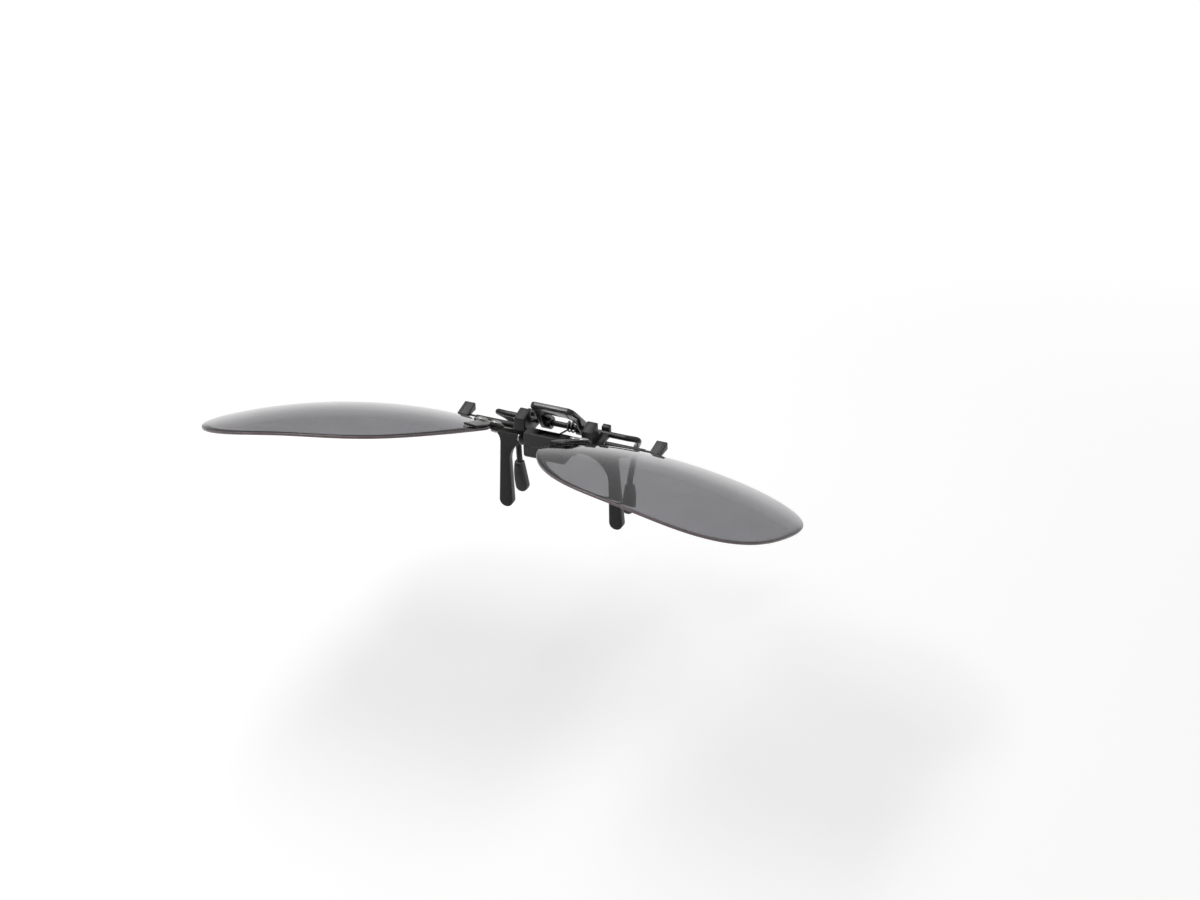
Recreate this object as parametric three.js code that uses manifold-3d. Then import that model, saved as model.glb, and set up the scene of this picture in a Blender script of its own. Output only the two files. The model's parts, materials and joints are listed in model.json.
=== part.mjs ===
// Flip-up clip-on sunglasses with a sprung clamp, lenses flipped up.
// Millimetres. X runs across the face, Y backwards to the wearer, Z up. The origin is on the
// mid-plane, at the back face of the front jaw and at the height of the spectacle rim's top.
import * as THREE from "three";
import { mergeVertices } from "three/addons/utils/BufferGeometryUtils.js";
import Module from "manifold-3d";

// Clearances
const FIT_GAP = 0.15; // between pieces that are fixed to each other
const RUN_GAP = 0.25; // between pieces that turn past each other

// Front jaw: a plate with an arch over the nose and two legs
const JAW_THICK = 2.0;
const JAW_TOP_DROP = 0.1; // top edge below the rim line
const JAW_BRIDGE = 2.6; // depth of the plate above the arch
const JAW_EDGE = 0.35; // rounding of its edges
const WING_REACH = 17.7; // middle of each rounded wing end
const WING_DEPTH = 1.2;
const WING_FILLET = 3.0;
const LEG_DROP = 21.7; // leg ends below the rim line
const LEG_SPREAD = 14.1; // middle of each leg end
const LEG_END_WIDTH = 3.4;
const LEG_WAIST = 2.2; // leg width under the wing
const ARCH_HALF = 12.65;
const ARCH_CORNER = 6.5;

// Flip joint
const FLIP_STANDOFF = 4.3; // flip axis in front of the jaw's front face
const FLIP_RISE = 1.0; // flip axis above the rim line
const FLIP_ANGLE = 111.3; // from closed to flipped up, degrees
const PIN_RADIUS = 0.6;
const PIN_HEAD_RADIUS = 1.0;
const PIN_HEAD = 0.45;
const BARREL_RADIUS = 2.1;
const BARREL_HALF = 5.0;
const BARREL_HUB = 1.6; // radius of the hubs that carry the arms at its ends
const BARREL_FLAT = 0.15; // depth of the two flats that the leaf presses on
const CRADLE_WALL = 0.75;
const CRADLE_FLOOR = 0.4; // under the leaf's pocket
const CRADLE_RISE = 3.2; // its top above the flip axis
const CRADLE_CREST = 0.1; // back of its flat top behind the flip axis
const CRADLE_REAR = 0.4; // its back edge above the flip axis
const CRADLE_STEP = 0.3; // its lower half stands out in front by this
const WINDOW_LEFT = 2.0; // ends of the window in its top
const WINDOW_RIGHT = 3.4;
const WINDOW_FRONT = 1.9; // and its front and back from the flip axis
const WINDOW_BACK = 1.2;
const LEAF_HALF = 3.0;
const LEAF_SPAN = 3.6;
const LEAF_BOW = 0.2;
const LEAF_THICK = 0.3;

// Ear blocks on the jaw's top edge
const EAR_INNER = 7.2;
const EAR_WIDTH = 4.2;
const EAR_WALL = 2.7; // width of the tall front wall
const EAR_TOP = 5.3;
const EAR_SLOPE = 0.9; // the top is lower in front by this
const EAR_FRONT = 1.9; // tall wall in front of the jaw's front face
const EAR_REAR = 0.3; // tall wall stops this far short of the jaw's back face
const EAR_FOOT = 1.3; // underside of the front overhang above the rim line
const EAR_LIP = 0.5; // lip in front of the jaw below its top edge
const EAR_FLOOR = 1.05; // floor behind the jaw below its top edge
const EAR_SHOULDER = 0.45; // side shoulder above the strip's top
const EAR_CHEEK = 0.8; // height of the cheek in front of the bar above the bar's axis
const EAR_BACK_WIDTH = 2.0;
const EAR_BACK_WALL = 1.3;
const EAR_BACK_RISE = 1.4; // back wall above the bar's axis
const EAR_BACK_INSET = 0.8; // back wall inside the block's outer end
const EAR_EDGE = 0.25;

// Rim hooks and the strips that carry them
const ARM_FORWARD = 0.9; // strip's front edge in front of the jaw's back face
const ARM_WIDTH = 1.0;
const ARM_HEIGHT = 0.6;
const HOOK_SPREAD = 24.5;
const HOOK_WIDTH = 2.8;
const HOOK_DEPTH = 4.4;
const HOOK_FRONT = 1.55; // its front end in front of the jaw's back face
const HOOK_FRONT_HEIGHT = 1.05;
const HOOK_RISE = 0.9; // its top climbs this much towards the back
const HOOK_TOE = 0.45; // slant under its front end
const HOOK_WALL = 0.5;
const HOOK_EDGE = 0.3;
const TAB_LENGTH = 1.5; // bare stretch of the strip's tongue in front of the hook
const TAB_THICK = 0.3;
const TAB_WIDTH = 0.7;
const TAB_RISE = 0.35; // tongue's underside above the rim line

// Rear jaw: one bent wire with rubber pads, turned by a thumb lever
const BAR_BACK = 3.0; // bar axis behind the jaw's back face
const BAR_RISE = 0.6; // and above the rim line
const BAR_RADIUS = 0.7;
const BAR_HALF = 15.6; // straight length each side of the middle
const ARM_FLARE = 2.15; // arms swing out past the bar's ends by this
const ARM_BOW = 4.2; // and back behind the bar by this
const NECK_BACK = 3.45; // wire behind the bar where it enters a pad
const TOE_BACK = 3.1; // and at its end
const BEND_DOWN = 0.026; // shares of the way down to the pad: end of the bend at the bar,
const SHOULDER_DOWN = 0.2; // the shoulder,
const ELBOW_DOWN = 0.335; // the elbow
const BELLY_DOWN = 0.64; // and the farthest back
const BEND_BACK = 0.6; // wire behind the bar at the bend, the shoulder and the elbow
const SHOULDER_BACK = 3.0;
const ELBOW_BACK = 4.0;
const SHOULDER_INSET = 0.9; // wire inside the flare at the shoulder, the elbow and the belly
const ELBOW_INSET = 1.9;
const BELLY_INSET = 2.85;
const PAD_INSET = 0.4; // pad middles inside the leg middles
const PAD_HEIGHT = 7.9;
const PAD_WIDTH = 3.1;
const PAD_NECK = 1.9; // width at the top
const PAD_LEAN = 0.55; // top shifted outwards
const PAD_THICK = 2.4;
const PAD_EDGE = 0.55;
const PAD_TOE = 1.4; // rubber under the wire's end
const LEVER_LEAN = 44; // forwards from upright, degrees
const LEVER_LENGTH = 11.3; // bar axis to the lever's top edge
const LEVER_PLATE = 5.3; // height of the thumb plate
const LEVER_CRANK = 0.9; // thumb plate's middle behind the line from the bar
const LEVER_THICK = 1.3;
const LEVER_SIDE_GAP = 1.5; // thumb plate to the ear blocks, when in the middle
const LEVER_SHIFT = 0.2; // the spring holds it this far to the left
const LEVER_CORNER = 1.6;
const LEVER_EDGE = 0.35;
const LEVER_BEAD = 0.68; // radius of the bead along the top edge
const WEB_THICK = 1.1; // side webs from the hubs to the thumb plate
const WEB_FRONT = 1.0; // their front edge in front of the line from the bar
const WEB_KNEE = 3.2; // where that edge turns back to the plate
const HUB_INNER = 3.2;
const HUB_LENGTH = 2.5;
const HUB_WALL = 0.85;
const SPRING_WIRE = 0.45;
const SPRING_PITCH = 0.92;
const SPRING_TURNS = 2; // whole turns before the ends
const SPRING_PLAY = 0.2; // coil to bar
const SPRING_FOOT = 3.4; // straight end that lies on the jaw's back edge
const SPRING_TAIL = 0.8; // straight stretch along the lever's right arm,
const SPRING_BEND = 0.5; // the bend's radius
const SPRING_END = 1.2; // and the end that sits in a hole in the arm

// Lenses, drawn closed: u outwards, z up, both from the lens middle
const CORNER_SPREAD = 12.77; // lens rivet from the mid-plane
const CORNER_DROP = 10.2; // below the flip axis
const CORNER_FORWARD = 3.85; // and in front of it
const LENS_RADIUS = 29.31; // mean of the outline, which swells and draws in by waves:
const LENS_OVAL = [2.53, 0.38]; // cosine and sine of two waves round it, wider than tall
const LENS_DROOP = [-0.79, -1.0]; // of three waves, fuller below and outside
const LENS_SQUARE = [-1.1, 0.5]; // and of four, squarer corners
const LENS_SPHERE = 125;
const LENS_THICK = 0.7;
const FACE_WRAP = 8; // each lens turns back by this at the temple, degrees
const LENS_CORNER = 1.6; // the upper corner by the nose stands out by this
const LENS_CORNER_AT = 206; // degrees round the lens outline
const LENS_CORNER_SPAN = 13;
const LENS_RIVET_AT = 209.7; // lens rivet: degrees round the outline
const LENS_RIVET_INSET = 1.68; // and inside it

// Brackets and rivets at the lens corner
const BRACKET_THICK = 0.5;
const BRACKET_RADIUS = 1.75;
const BRACKET_REACH_IN = 2.85; // bracket rivet from the lens rivet
const BRACKET_REACH_UP = 1.9;
const BRACKET_LIP = 3.2; // width of the lip along the lens edge
const BRACKET_LIP_FROM = 190; // degrees round the lens outline
const BRACKET_LIP_TO = 209;
const BRIDGE_ARM_THICK = 1.0;
const BRIDGE_ARM_HALF = 1.45; // half its width at the rivet
const RIVET_SHANK = 0.5;
const RIVET_HEAD_RADIUS = 1.3;
const RIVET_HEAD = 0.4;
const RIVET_TAIL_RADIUS = 0.9;
const RIVET_TAIL = 0.35;

// Fineness
const ARC_STEPS = 8;
const ROUND_SIDES = 20;
const WIRE_SIDES = 8;
const SPRING_SIDES = 5;
const SPRING_STEPS_PER_TURN = 18;
const LENS_OUTLINE_STEPS = 96;
const LENS_RINGS = 7;
const LENS_SECTORS = 40;
const WIRE_STEPS = 52;
const GAP_SAMPLES = 400;
const SHELL_SPARE = 1.3; // lens blanks reach this share of the mean radius
const CUT_PAST = 1.0; // cutting shapes run past the piece by this
const WELD = 1e-4;

// Levels and places worked out from the sizes above
const JAW_TOP = -JAW_TOP_DROP;
const JAW_FRONT = -JAW_THICK;
const ARCH_TOP = JAW_TOP - JAW_BRIDGE;
const FLIP_Y = JAW_FRONT - FLIP_STANDOFF;
const FLIP_Z = FLIP_RISE;
const CRADLE_HALF = BARREL_HALF;
const HUB_END = EAR_INNER - RUN_GAP;
const HUB_ROOT = BARREL_HALF + RUN_GAP;
const EAR_OUTER = EAR_INNER + EAR_WIDTH;
const COIL_RADIUS = BAR_RADIUS + SPRING_PLAY + SPRING_WIRE / 2;
const BAR_Y = BAR_BACK;
const BAR_Z = BAR_RISE;
const SEAT_Z = JAW_TOP + FIT_GAP;
const PAD_X = LEG_SPREAD - PAD_INSET;
const radians = THREE.MathUtils.degToRad;

const FINISH = {
  satinBlack: { color: 0x2b2929, roughness: 0.45, metalness: 0.2 },
  glossBlack: { color: 0x161616, roughness: 0.18, metalness: 0.1 },
  rubber: { color: 0x333334, roughness: 0.8, metalness: 0 },
  steel: { color: 0xc9c9c7, roughness: 0.22, metalness: 1 },
  springSteel: { color: 0x6f6f70, roughness: 0.35, metalness: 1 },
  greyLens: { color: 0x6c6a6e, roughness: 0.05, metalness: 0, transparent: true, opacity: 0.72 },
};

const wasm = await Module();
wasm.setup();

function unindexed(geometry) {
  return geometry.index ? geometry.toNonIndexed() : geometry.clone();
}

function toSolid(geometry) {
  const plain = unindexed(geometry);
  plain.deleteAttribute("normal");
  plain.deleteAttribute("uv");
  const merged = mergeVertices(plain, WELD);
  const index = merged.index.array;
  const triangles = [];
  for (let i = 0; i < index.length; i += 3) {
    const [a, b, c] = index.slice(i, i + 3);
    if (a !== b && b !== c && c !== a) triangles.push(a, b, c);
  }
  return new wasm.Manifold(
    new wasm.Mesh({
      numProp: 3,
      vertProperties: new Float32Array(merged.attributes.position.array),
      triVerts: new Uint32Array(triangles),
    }),
  );
}

function toGeometry(solid) {
  const mesh = solid.getMesh();
  const geometry = new THREE.BufferGeometry();
  geometry.setAttribute("position", new THREE.BufferAttribute(mesh.vertProperties, 3));
  geometry.setIndex(new THREE.BufferAttribute(mesh.triVerts, 1));
  geometry.computeVertexNormals();
  return geometry;
}

function join(first, ...others) {
  return toGeometry(others.reduce((whole, part) => whole.add(toSolid(part)), toSolid(first)));
}

function cut(body, ...tools) {
  return toGeometry(tools.reduce((whole, tool) => whole.subtract(toSolid(tool)), toSolid(body)));
}

function common(a, b) {
  return toGeometry(toSolid(a).intersect(toSolid(b)));
}

function extrude(outline, length, edge) {
  const geometry = new THREE.ExtrudeGeometry(outline, {
    depth: length - 2 * edge,
    bevelEnabled: edge > 0,
    bevelThickness: edge,
    bevelSize: edge,
    bevelOffset: -edge,
    bevelSegments: 2,
    curveSegments: ARC_STEPS,
  });
  return geometry.translate(0, 0, edge);
}

// A bar of an outline drawn in y and z, running along X
function alongX(outline, from, to, edge = 0) {
  const turn = new THREE.Matrix4().makeBasis(
    new THREE.Vector3(0, 1, 0),
    new THREE.Vector3(0, 0, 1),
    new THREE.Vector3(1, 0, 0),
  );
  return extrude(outline, to - from, edge).applyMatrix4(turn).translate(from, 0, 0);
}

// A plate of an outline drawn in x and z, with its faces square to Y
function squareToY(outline, front, back, edge = 0) {
  return extrude(outline, back - front, edge).rotateX(Math.PI / 2).translate(0, back, 0);
}

function roundBar(radius, from, to, y, z) {
  return new THREE.CylinderGeometry(radius, radius, to - from, ROUND_SIDES)
    .rotateZ(Math.PI / 2)
    .translate((from + to) / 2, y, z);
}

function block(x0, x1, y0, y1, z0, z1) {
  return new THREE.BoxGeometry(x1 - x0, y1 - y0, z1 - z0).translate(
    (x0 + x1) / 2,
    (y0 + y1) / 2,
    (z0 + z1) / 2,
  );
}

function polygon(...corners) {
  return new THREE.Shape(corners.map(([a, b]) => new THREE.Vector2(a, b)));
}

function roundSection(radius, sides) {
  const corner = (i) => [
    radius * Math.cos((2 * Math.PI * i) / sides),
    radius * Math.sin((2 * Math.PI * i) / sides),
  ];
  return polygon(...Array.from({ length: sides }, (_, i) => corner(i)));
}

function mirrored(geometry) {
  const flipped = unindexed(geometry).scale(-1, 1, 1);
  const points = flipped.attributes.position.array;
  for (let i = 0; i < points.length; i += 9) {
    const second = points.slice(i + 3, i + 6);
    points.copyWithin(i + 3, i + 6, i + 9);
    points.set(second, i + 6);
  }
  return flipped;
}

// Front jaw

function frontJaw() {
  const endRadius = LEG_END_WIDTH / 2;
  const endZ = endRadius - LEG_DROP;
  const legOuter = ARCH_HALF + LEG_WAIST;
  const wingRadius = WING_DEPTH / 2;
  const wingUnder = JAW_TOP - WING_DEPTH;
  const cornerZ = ARCH_TOP - ARCH_CORNER;
  const cornerX = ARCH_HALF - ARCH_CORNER;
  const half = Math.PI / 2;
  const outline = new THREE.Shape();
  outline.moveTo(-WING_REACH, JAW_TOP);
  outline.lineTo(WING_REACH, JAW_TOP);
  outline.absarc(WING_REACH, JAW_TOP - wingRadius, wingRadius, half, -half, true);
  outline.quadraticCurveTo(legOuter, wingUnder, legOuter, wingUnder - WING_FILLET);
  outline.lineTo(LEG_SPREAD + endRadius, endZ);
  outline.absarc(LEG_SPREAD, endZ, endRadius, 0, -2 * half, true);
  outline.lineTo(ARCH_HALF, cornerZ);
  outline.absarc(cornerX, cornerZ, ARCH_CORNER, 0, half, false);
  outline.absarc(-cornerX, cornerZ, ARCH_CORNER, half, 2 * half, false);
  outline.lineTo(endRadius - LEG_SPREAD, endZ);
  outline.absarc(-LEG_SPREAD, endZ, endRadius, 0, -2 * half, true);
  outline.lineTo(-legOuter, wingUnder - WING_FILLET);
  outline.quadraticCurveTo(-legOuter, wingUnder, -WING_REACH, wingUnder);
  outline.absarc(-WING_REACH, JAW_TOP - wingRadius, wingRadius, -half, -3 * half, true);
  return squareToY(outline, JAW_FRONT, 0, JAW_EDGE);
}

// Flip joint

const LEAF_TOP = FLIP_Z - BARREL_RADIUS - FIT_GAP;
const LEAF_POCKET = LEAF_TOP - LEAF_BOW - LEAF_THICK - FIT_GAP;

function hingeCradle() {
  const back = JAW_FRONT - FIT_GAP;
  const reach = BARREL_RADIUS + RUN_GAP;
  const front = FLIP_Y - reach - CRADLE_WALL;
  const bottom = LEAF_POCKET - CRADLE_FLOOR;
  const tier = front + CRADLE_STEP;
  const top = FLIP_Z + CRADLE_RISE;
  const body = alongX(
    polygon(
      [front + CRADLE_WALL, bottom],
      [back, bottom],
      [back, FLIP_Z + CRADLE_REAR],
      [FLIP_Y + CRADLE_CREST, top],
      [tier, top],
      [tier, FLIP_Z],
      [front, FLIP_Z],
      [front, bottom + CRADLE_WALL],
    ),
    -CRADLE_HALF,
    CRADLE_HALF,
    EAR_EDGE,
  );
  const end = CRADLE_HALF + CUT_PAST;
  const trough = roundBar(reach, -end, end, FLIP_Y, FLIP_Z);
  const span = LEAF_SPAN / 2 + FIT_GAP;
  const pocket = block(
    -LEAF_HALF - FIT_GAP,
    LEAF_HALF + FIT_GAP,
    FLIP_Y - span,
    FLIP_Y + span,
    LEAF_POCKET,
    FLIP_Z,
  );
  const window = block(
    -WINDOW_LEFT,
    WINDOW_RIGHT,
    FLIP_Y - WINDOW_FRONT,
    FLIP_Y + WINDOW_BACK,
    FLIP_Z,
    top + CUT_PAST,
  );
  return cut(body, trough, pocket, window);
}

function detentSpring() {
  const foot = LEAF_TOP - LEAF_BOW;
  const half = LEAF_SPAN / 2;
  const outline = new THREE.Shape();
  outline.moveTo(FLIP_Y - half, foot);
  outline.quadraticCurveTo(FLIP_Y, foot + 2 * LEAF_BOW, FLIP_Y + half, foot);
  outline.lineTo(FLIP_Y + half, foot - LEAF_THICK);
  const under = foot - LEAF_THICK;
  outline.quadraticCurveTo(FLIP_Y, under + 2 * LEAF_BOW, FLIP_Y - half, under);
  return alongX(outline, -LEAF_HALF, LEAF_HALF);
}

function flipPin() {
  const end = HUB_END + FIT_GAP + PIN_HEAD;
  const shoulder = end - PIN_HEAD;
  const profile = [
    [0, -end],
    [PIN_HEAD_RADIUS, -end],
    [PIN_HEAD_RADIUS, -shoulder],
    [PIN_RADIUS, -shoulder],
    [PIN_RADIUS, shoulder],
    [PIN_HEAD_RADIUS, shoulder],
    [PIN_HEAD_RADIUS, end],
    [0, end],
  ];
  const points = profile.map(([radius, height]) => new THREE.Vector2(radius, height));
  const pin = new THREE.LatheGeometry(points, ROUND_SIDES);
  return pin.rotateZ(Math.PI / 2);
}

// Ear blocks

function earBlock() {
  const grooveRadius = BAR_RADIUS + FIT_GAP;
  const cheekBack = BAR_Y - BAR_RADIUS;
  const cheekTop = BAR_Z + EAR_CHEEK;
  const floor = SEAT_Z - EAR_FLOOR;
  const slotFront = JAW_FRONT - FIT_GAP;
  const front = JAW_FRONT - EAR_FRONT;
  const tall = polygon(
    [front, EAR_FOOT],
    [front, EAR_TOP - EAR_SLOPE],
    [-EAR_REAR, EAR_TOP],
    [-EAR_REAR, cheekTop + EAR_CHEEK],
    [cheekBack, cheekTop],
    [cheekBack, floor],
    [FIT_GAP, floor],
    [FIT_GAP, SEAT_Z],
    [slotFront, SEAT_Z],
    [slotFront, SEAT_Z - EAR_LIP],
  );
  const saddleTop = BAR_Z - BAR_RADIUS;
  const backFront = BAR_Y + grooveRadius;
  const backRear = backFront + EAR_BACK_WALL;
  const backTop = BAR_Z + EAR_BACK_RISE;
  const backWall = polygon(
    [FIT_GAP, floor],
    [backRear, floor],
    [backRear, backTop],
    [backFront, backTop - EAR_EDGE],
    [backFront, saddleTop],
    [FIT_GAP, saddleTop],
  );
  const wallOuter = EAR_INNER + EAR_WALL;
  const backOuter = EAR_OUTER - EAR_BACK_INSET;
  const backInner = backOuter - EAR_BACK_WIDTH;
  const inset = EAR_EDGE / 2;
  const body = join(
    alongX(tall, EAR_INNER, wallOuter, EAR_EDGE),
    alongX(backWall, backInner, backOuter, EAR_EDGE),
    block(
      EAR_INNER + inset,
      backOuter - EAR_BACK_WIDTH / 2,
      FIT_GAP + inset,
      backRear - inset,
      floor + inset,
      saddleTop - inset,
    ),
    block(
      wallOuter - EAR_WALL / 2,
      EAR_OUTER - inset,
      JAW_FRONT + inset,
      cheekBack - inset,
      SEAT_Z + inset / 2,
      SEAT_Z + ARM_HEIGHT + EAR_SHOULDER,
    ),
  );
  const inner = EAR_INNER - CUT_PAST;
  const outer = EAR_OUTER + CUT_PAST;
  const groove = roundBar(grooveRadius, inner, outer, BAR_Y, BAR_Z);
  const mouth = block(inner, outer, cheekBack, BAR_Y + BAR_RADIUS, BAR_Z, BAR_Z + EAR_TOP);
  return cut(body, groove, mouth);
}

// Rim hooks

const ARM_BACK = ARM_WIDTH - ARM_FORWARD;
const TAB_HALF = HOOK_WIDTH / 2 - HOOK_WALL;

// The strip's tongue, or with spare room the pocket that takes it
function tongue(from, spare) {
  return block(
    from,
    HOOK_SPREAD + TAB_HALF + spare,
    -ARM_FORWARD - spare,
    TAB_WIDTH - ARM_FORWARD + spare,
    TAB_RISE - spare,
    TAB_RISE + TAB_THICK + spare,
  );
}

function hookArm() {
  const root = EAR_OUTER + FIT_GAP;
  const end = HOOK_SPREAD - HOOK_WIDTH / 2 - TAB_LENGTH;
  const strip = block(root, end, -ARM_FORWARD, ARM_BACK, SEAT_Z, SEAT_Z + ARM_HEIGHT);
  return join(strip, tongue(end - ARM_WIDTH, 0));
}

function rimHook() {
  const front = -HOOK_FRONT;
  const back = front + HOOK_DEPTH;
  const half = HOOK_WIDTH / 2;
  const top = HOOK_FRONT_HEIGHT + HOOK_RISE;
  const outline = polygon(
    [front, HOOK_TOE],
    [front + HOOK_TOE, 0],
    [back, 0],
    [back, top],
    [front, HOOK_FRONT_HEIGHT],
  );
  const cap = alongX(outline, HOOK_SPREAD - half, HOOK_SPREAD + half, HOOK_EDGE);
  return cut(cap, tongue(HOOK_SPREAD - half - CUT_PAST, FIT_GAP));
}

// Rear jaw

const PAD_TOP = PAD_HEIGHT - LEG_DROP;
const WIRE_TOE = new THREE.Vector3(PAD_X, BAR_Y + TOE_BACK, PAD_TOE - LEG_DROP);
const WIRE_NECK = new THREE.Vector3(PAD_X + PAD_LEAN, BAR_Y + NECK_BACK, PAD_TOP + BAR_RADIUS);

function wirePath() {
  const flare = BAR_HALF + ARM_FLARE;
  const down = (share) => THREE.MathUtils.lerp(BAR_Z, WIRE_NECK.z, share);
  const right = [
    new THREE.Vector3(EAR_INNER, BAR_Y, BAR_Z),
    new THREE.Vector3(BAR_HALF - ARM_FLARE, BAR_Y, BAR_Z),
    new THREE.Vector3(BAR_HALF, BAR_Y, BAR_Z),
    new THREE.Vector3(flare, BAR_Y + BEND_BACK, down(BEND_DOWN)),
    new THREE.Vector3(flare - SHOULDER_INSET, BAR_Y + SHOULDER_BACK, down(SHOULDER_DOWN)),
    new THREE.Vector3(flare - ELBOW_INSET, BAR_Y + ELBOW_BACK, down(ELBOW_DOWN)),
    new THREE.Vector3(flare - BELLY_INSET, BAR_Y + ARM_BOW, down(BELLY_DOWN)),
    WIRE_NECK.clone().lerp(WIRE_TOE, -BAR_RADIUS / PAD_HEIGHT),
    WIRE_NECK,
    WIRE_TOE,
  ];
  const left = right.map((p) => new THREE.Vector3(-p.x, p.y, p.z)).reverse();
  return new THREE.CatmullRomCurve3([...left, ...right]);
}

function rearJawWire() {
  return new THREE.ExtrudeGeometry(roundSection(BAR_RADIUS, WIRE_SIDES), {
    steps: WIRE_STEPS,
    extrudePath: wirePath(),
  });
}

function rearPad() {
  const radius = PAD_WIDTH / 2;
  const roundZ = radius - LEG_DROP;
  const topMiddle = PAD_X + PAD_LEAN;
  const outline = new THREE.Shape();
  const waist = (PAD_TOP + roundZ) / 2;
  outline.moveTo(topMiddle + PAD_NECK / 2, PAD_TOP);
  outline.quadraticCurveTo(topMiddle + radius, waist, PAD_X + radius, roundZ);
  outline.absarc(PAD_X, roundZ, radius, 0, -Math.PI, true);
  outline.quadraticCurveTo(topMiddle - radius, waist, topMiddle - PAD_NECK / 2, PAD_TOP);
  const middle = (WIRE_TOE.y + WIRE_NECK.y) / 2;
  const pad = squareToY(outline, middle - PAD_THICK / 2, middle + PAD_THICK / 2, PAD_EDGE);
  const end = WIRE_TOE.clone().lerp(WIRE_NECK, -2 * FIT_GAP / PAD_HEIGHT);
  const bore = new THREE.ExtrudeGeometry(roundSection(BAR_RADIUS + FIT_GAP, WIRE_SIDES * 2), {
    steps: 1,
    extrudePath: new THREE.LineCurve3(WIRE_NECK.clone().lerp(WIRE_TOE, -BAR_RADIUS / PAD_HEIGHT), end),
  });
  return cut(pad, bore);
}

function thumbLever() {
  const half = EAR_INNER - LEVER_SIDE_GAP;
  const hubOuter = HUB_INNER + HUB_LENGTH;
  const plateFoot = LEVER_LENGTH - LEVER_PLATE;
  const shoulder = plateFoot + LEVER_CORNER;
  const top = LEVER_LENGTH;
  const outline = new THREE.Shape();
  const root = BAR_RADIUS + FIT_GAP;
  outline.moveTo(hubOuter, root);
  outline.lineTo(hubOuter, plateFoot - LEVER_CORNER);
  outline.quadraticCurveTo(hubOuter, plateFoot, half, shoulder);
  outline.quadraticCurveTo(half, top, half - LEVER_CORNER, top);
  outline.lineTo(LEVER_CORNER - half, top);
  outline.quadraticCurveTo(-half, top, -half, shoulder);
  outline.quadraticCurveTo(-hubOuter, plateFoot, -hubOuter, plateFoot - LEVER_CORNER);
  outline.lineTo(-hubOuter, root);
  outline.lineTo(-HUB_INNER, root);
  outline.lineTo(-HUB_INNER, plateFoot - LEVER_CORNER);
  outline.quadraticCurveTo(-HUB_INNER, plateFoot, LEVER_CORNER - HUB_INNER, plateFoot);
  outline.lineTo(HUB_INNER - LEVER_CORNER, plateFoot);
  outline.quadraticCurveTo(HUB_INNER, plateFoot, HUB_INNER, plateFoot - LEVER_CORNER);
  outline.lineTo(HUB_INNER, root);
  const front = LEVER_CRANK - LEVER_THICK / 2;
  const back = LEVER_CRANK + LEVER_THICK / 2;
  const stirrup = squareToY(outline, front, back, LEVER_EDGE);
  const beadHalf = half - LEVER_CORNER / 2;
  const bead = roundBar(LEVER_BEAD, -beadHalf, beadHalf, front + LEVER_BEAD, top - LEVER_BEAD);
  const hubRadius = BAR_RADIUS + HUB_WALL;
  const side = polygon(
    [-hubRadius, 0],
    [-WEB_FRONT, WEB_KNEE],
    [LEVER_CRANK, shoulder],
    [LEVER_CRANK, WEB_KNEE],
    [hubRadius, 0],
  );
  const web = alongX(side, hubOuter - WEB_THICK, hubOuter);
  const body = join(
    stirrup,
    bead,
    web,
    mirrored(web),
    roundBar(hubRadius, HUB_INNER, hubOuter, 0, 0),
    roundBar(hubRadius, -hubOuter, -HUB_INNER, 0, 0),
  );
  const end = hubOuter + CUT_PAST;
  const bore = roundBar(BAR_RADIUS + FIT_GAP, -end, end, 0, 0);
  const springHole = roundBar(
    SPRING_WIRE / 2 + FIT_GAP,
    HUB_INNER - CUT_PAST,
    HUB_INNER + SPRING_END,
    COIL_RADIUS,
    SPRING_TAIL + SPRING_BEND,
  );
  return cut(body, bore, springHole).translate(-LEVER_SHIFT, 0, 0);
}

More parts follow.
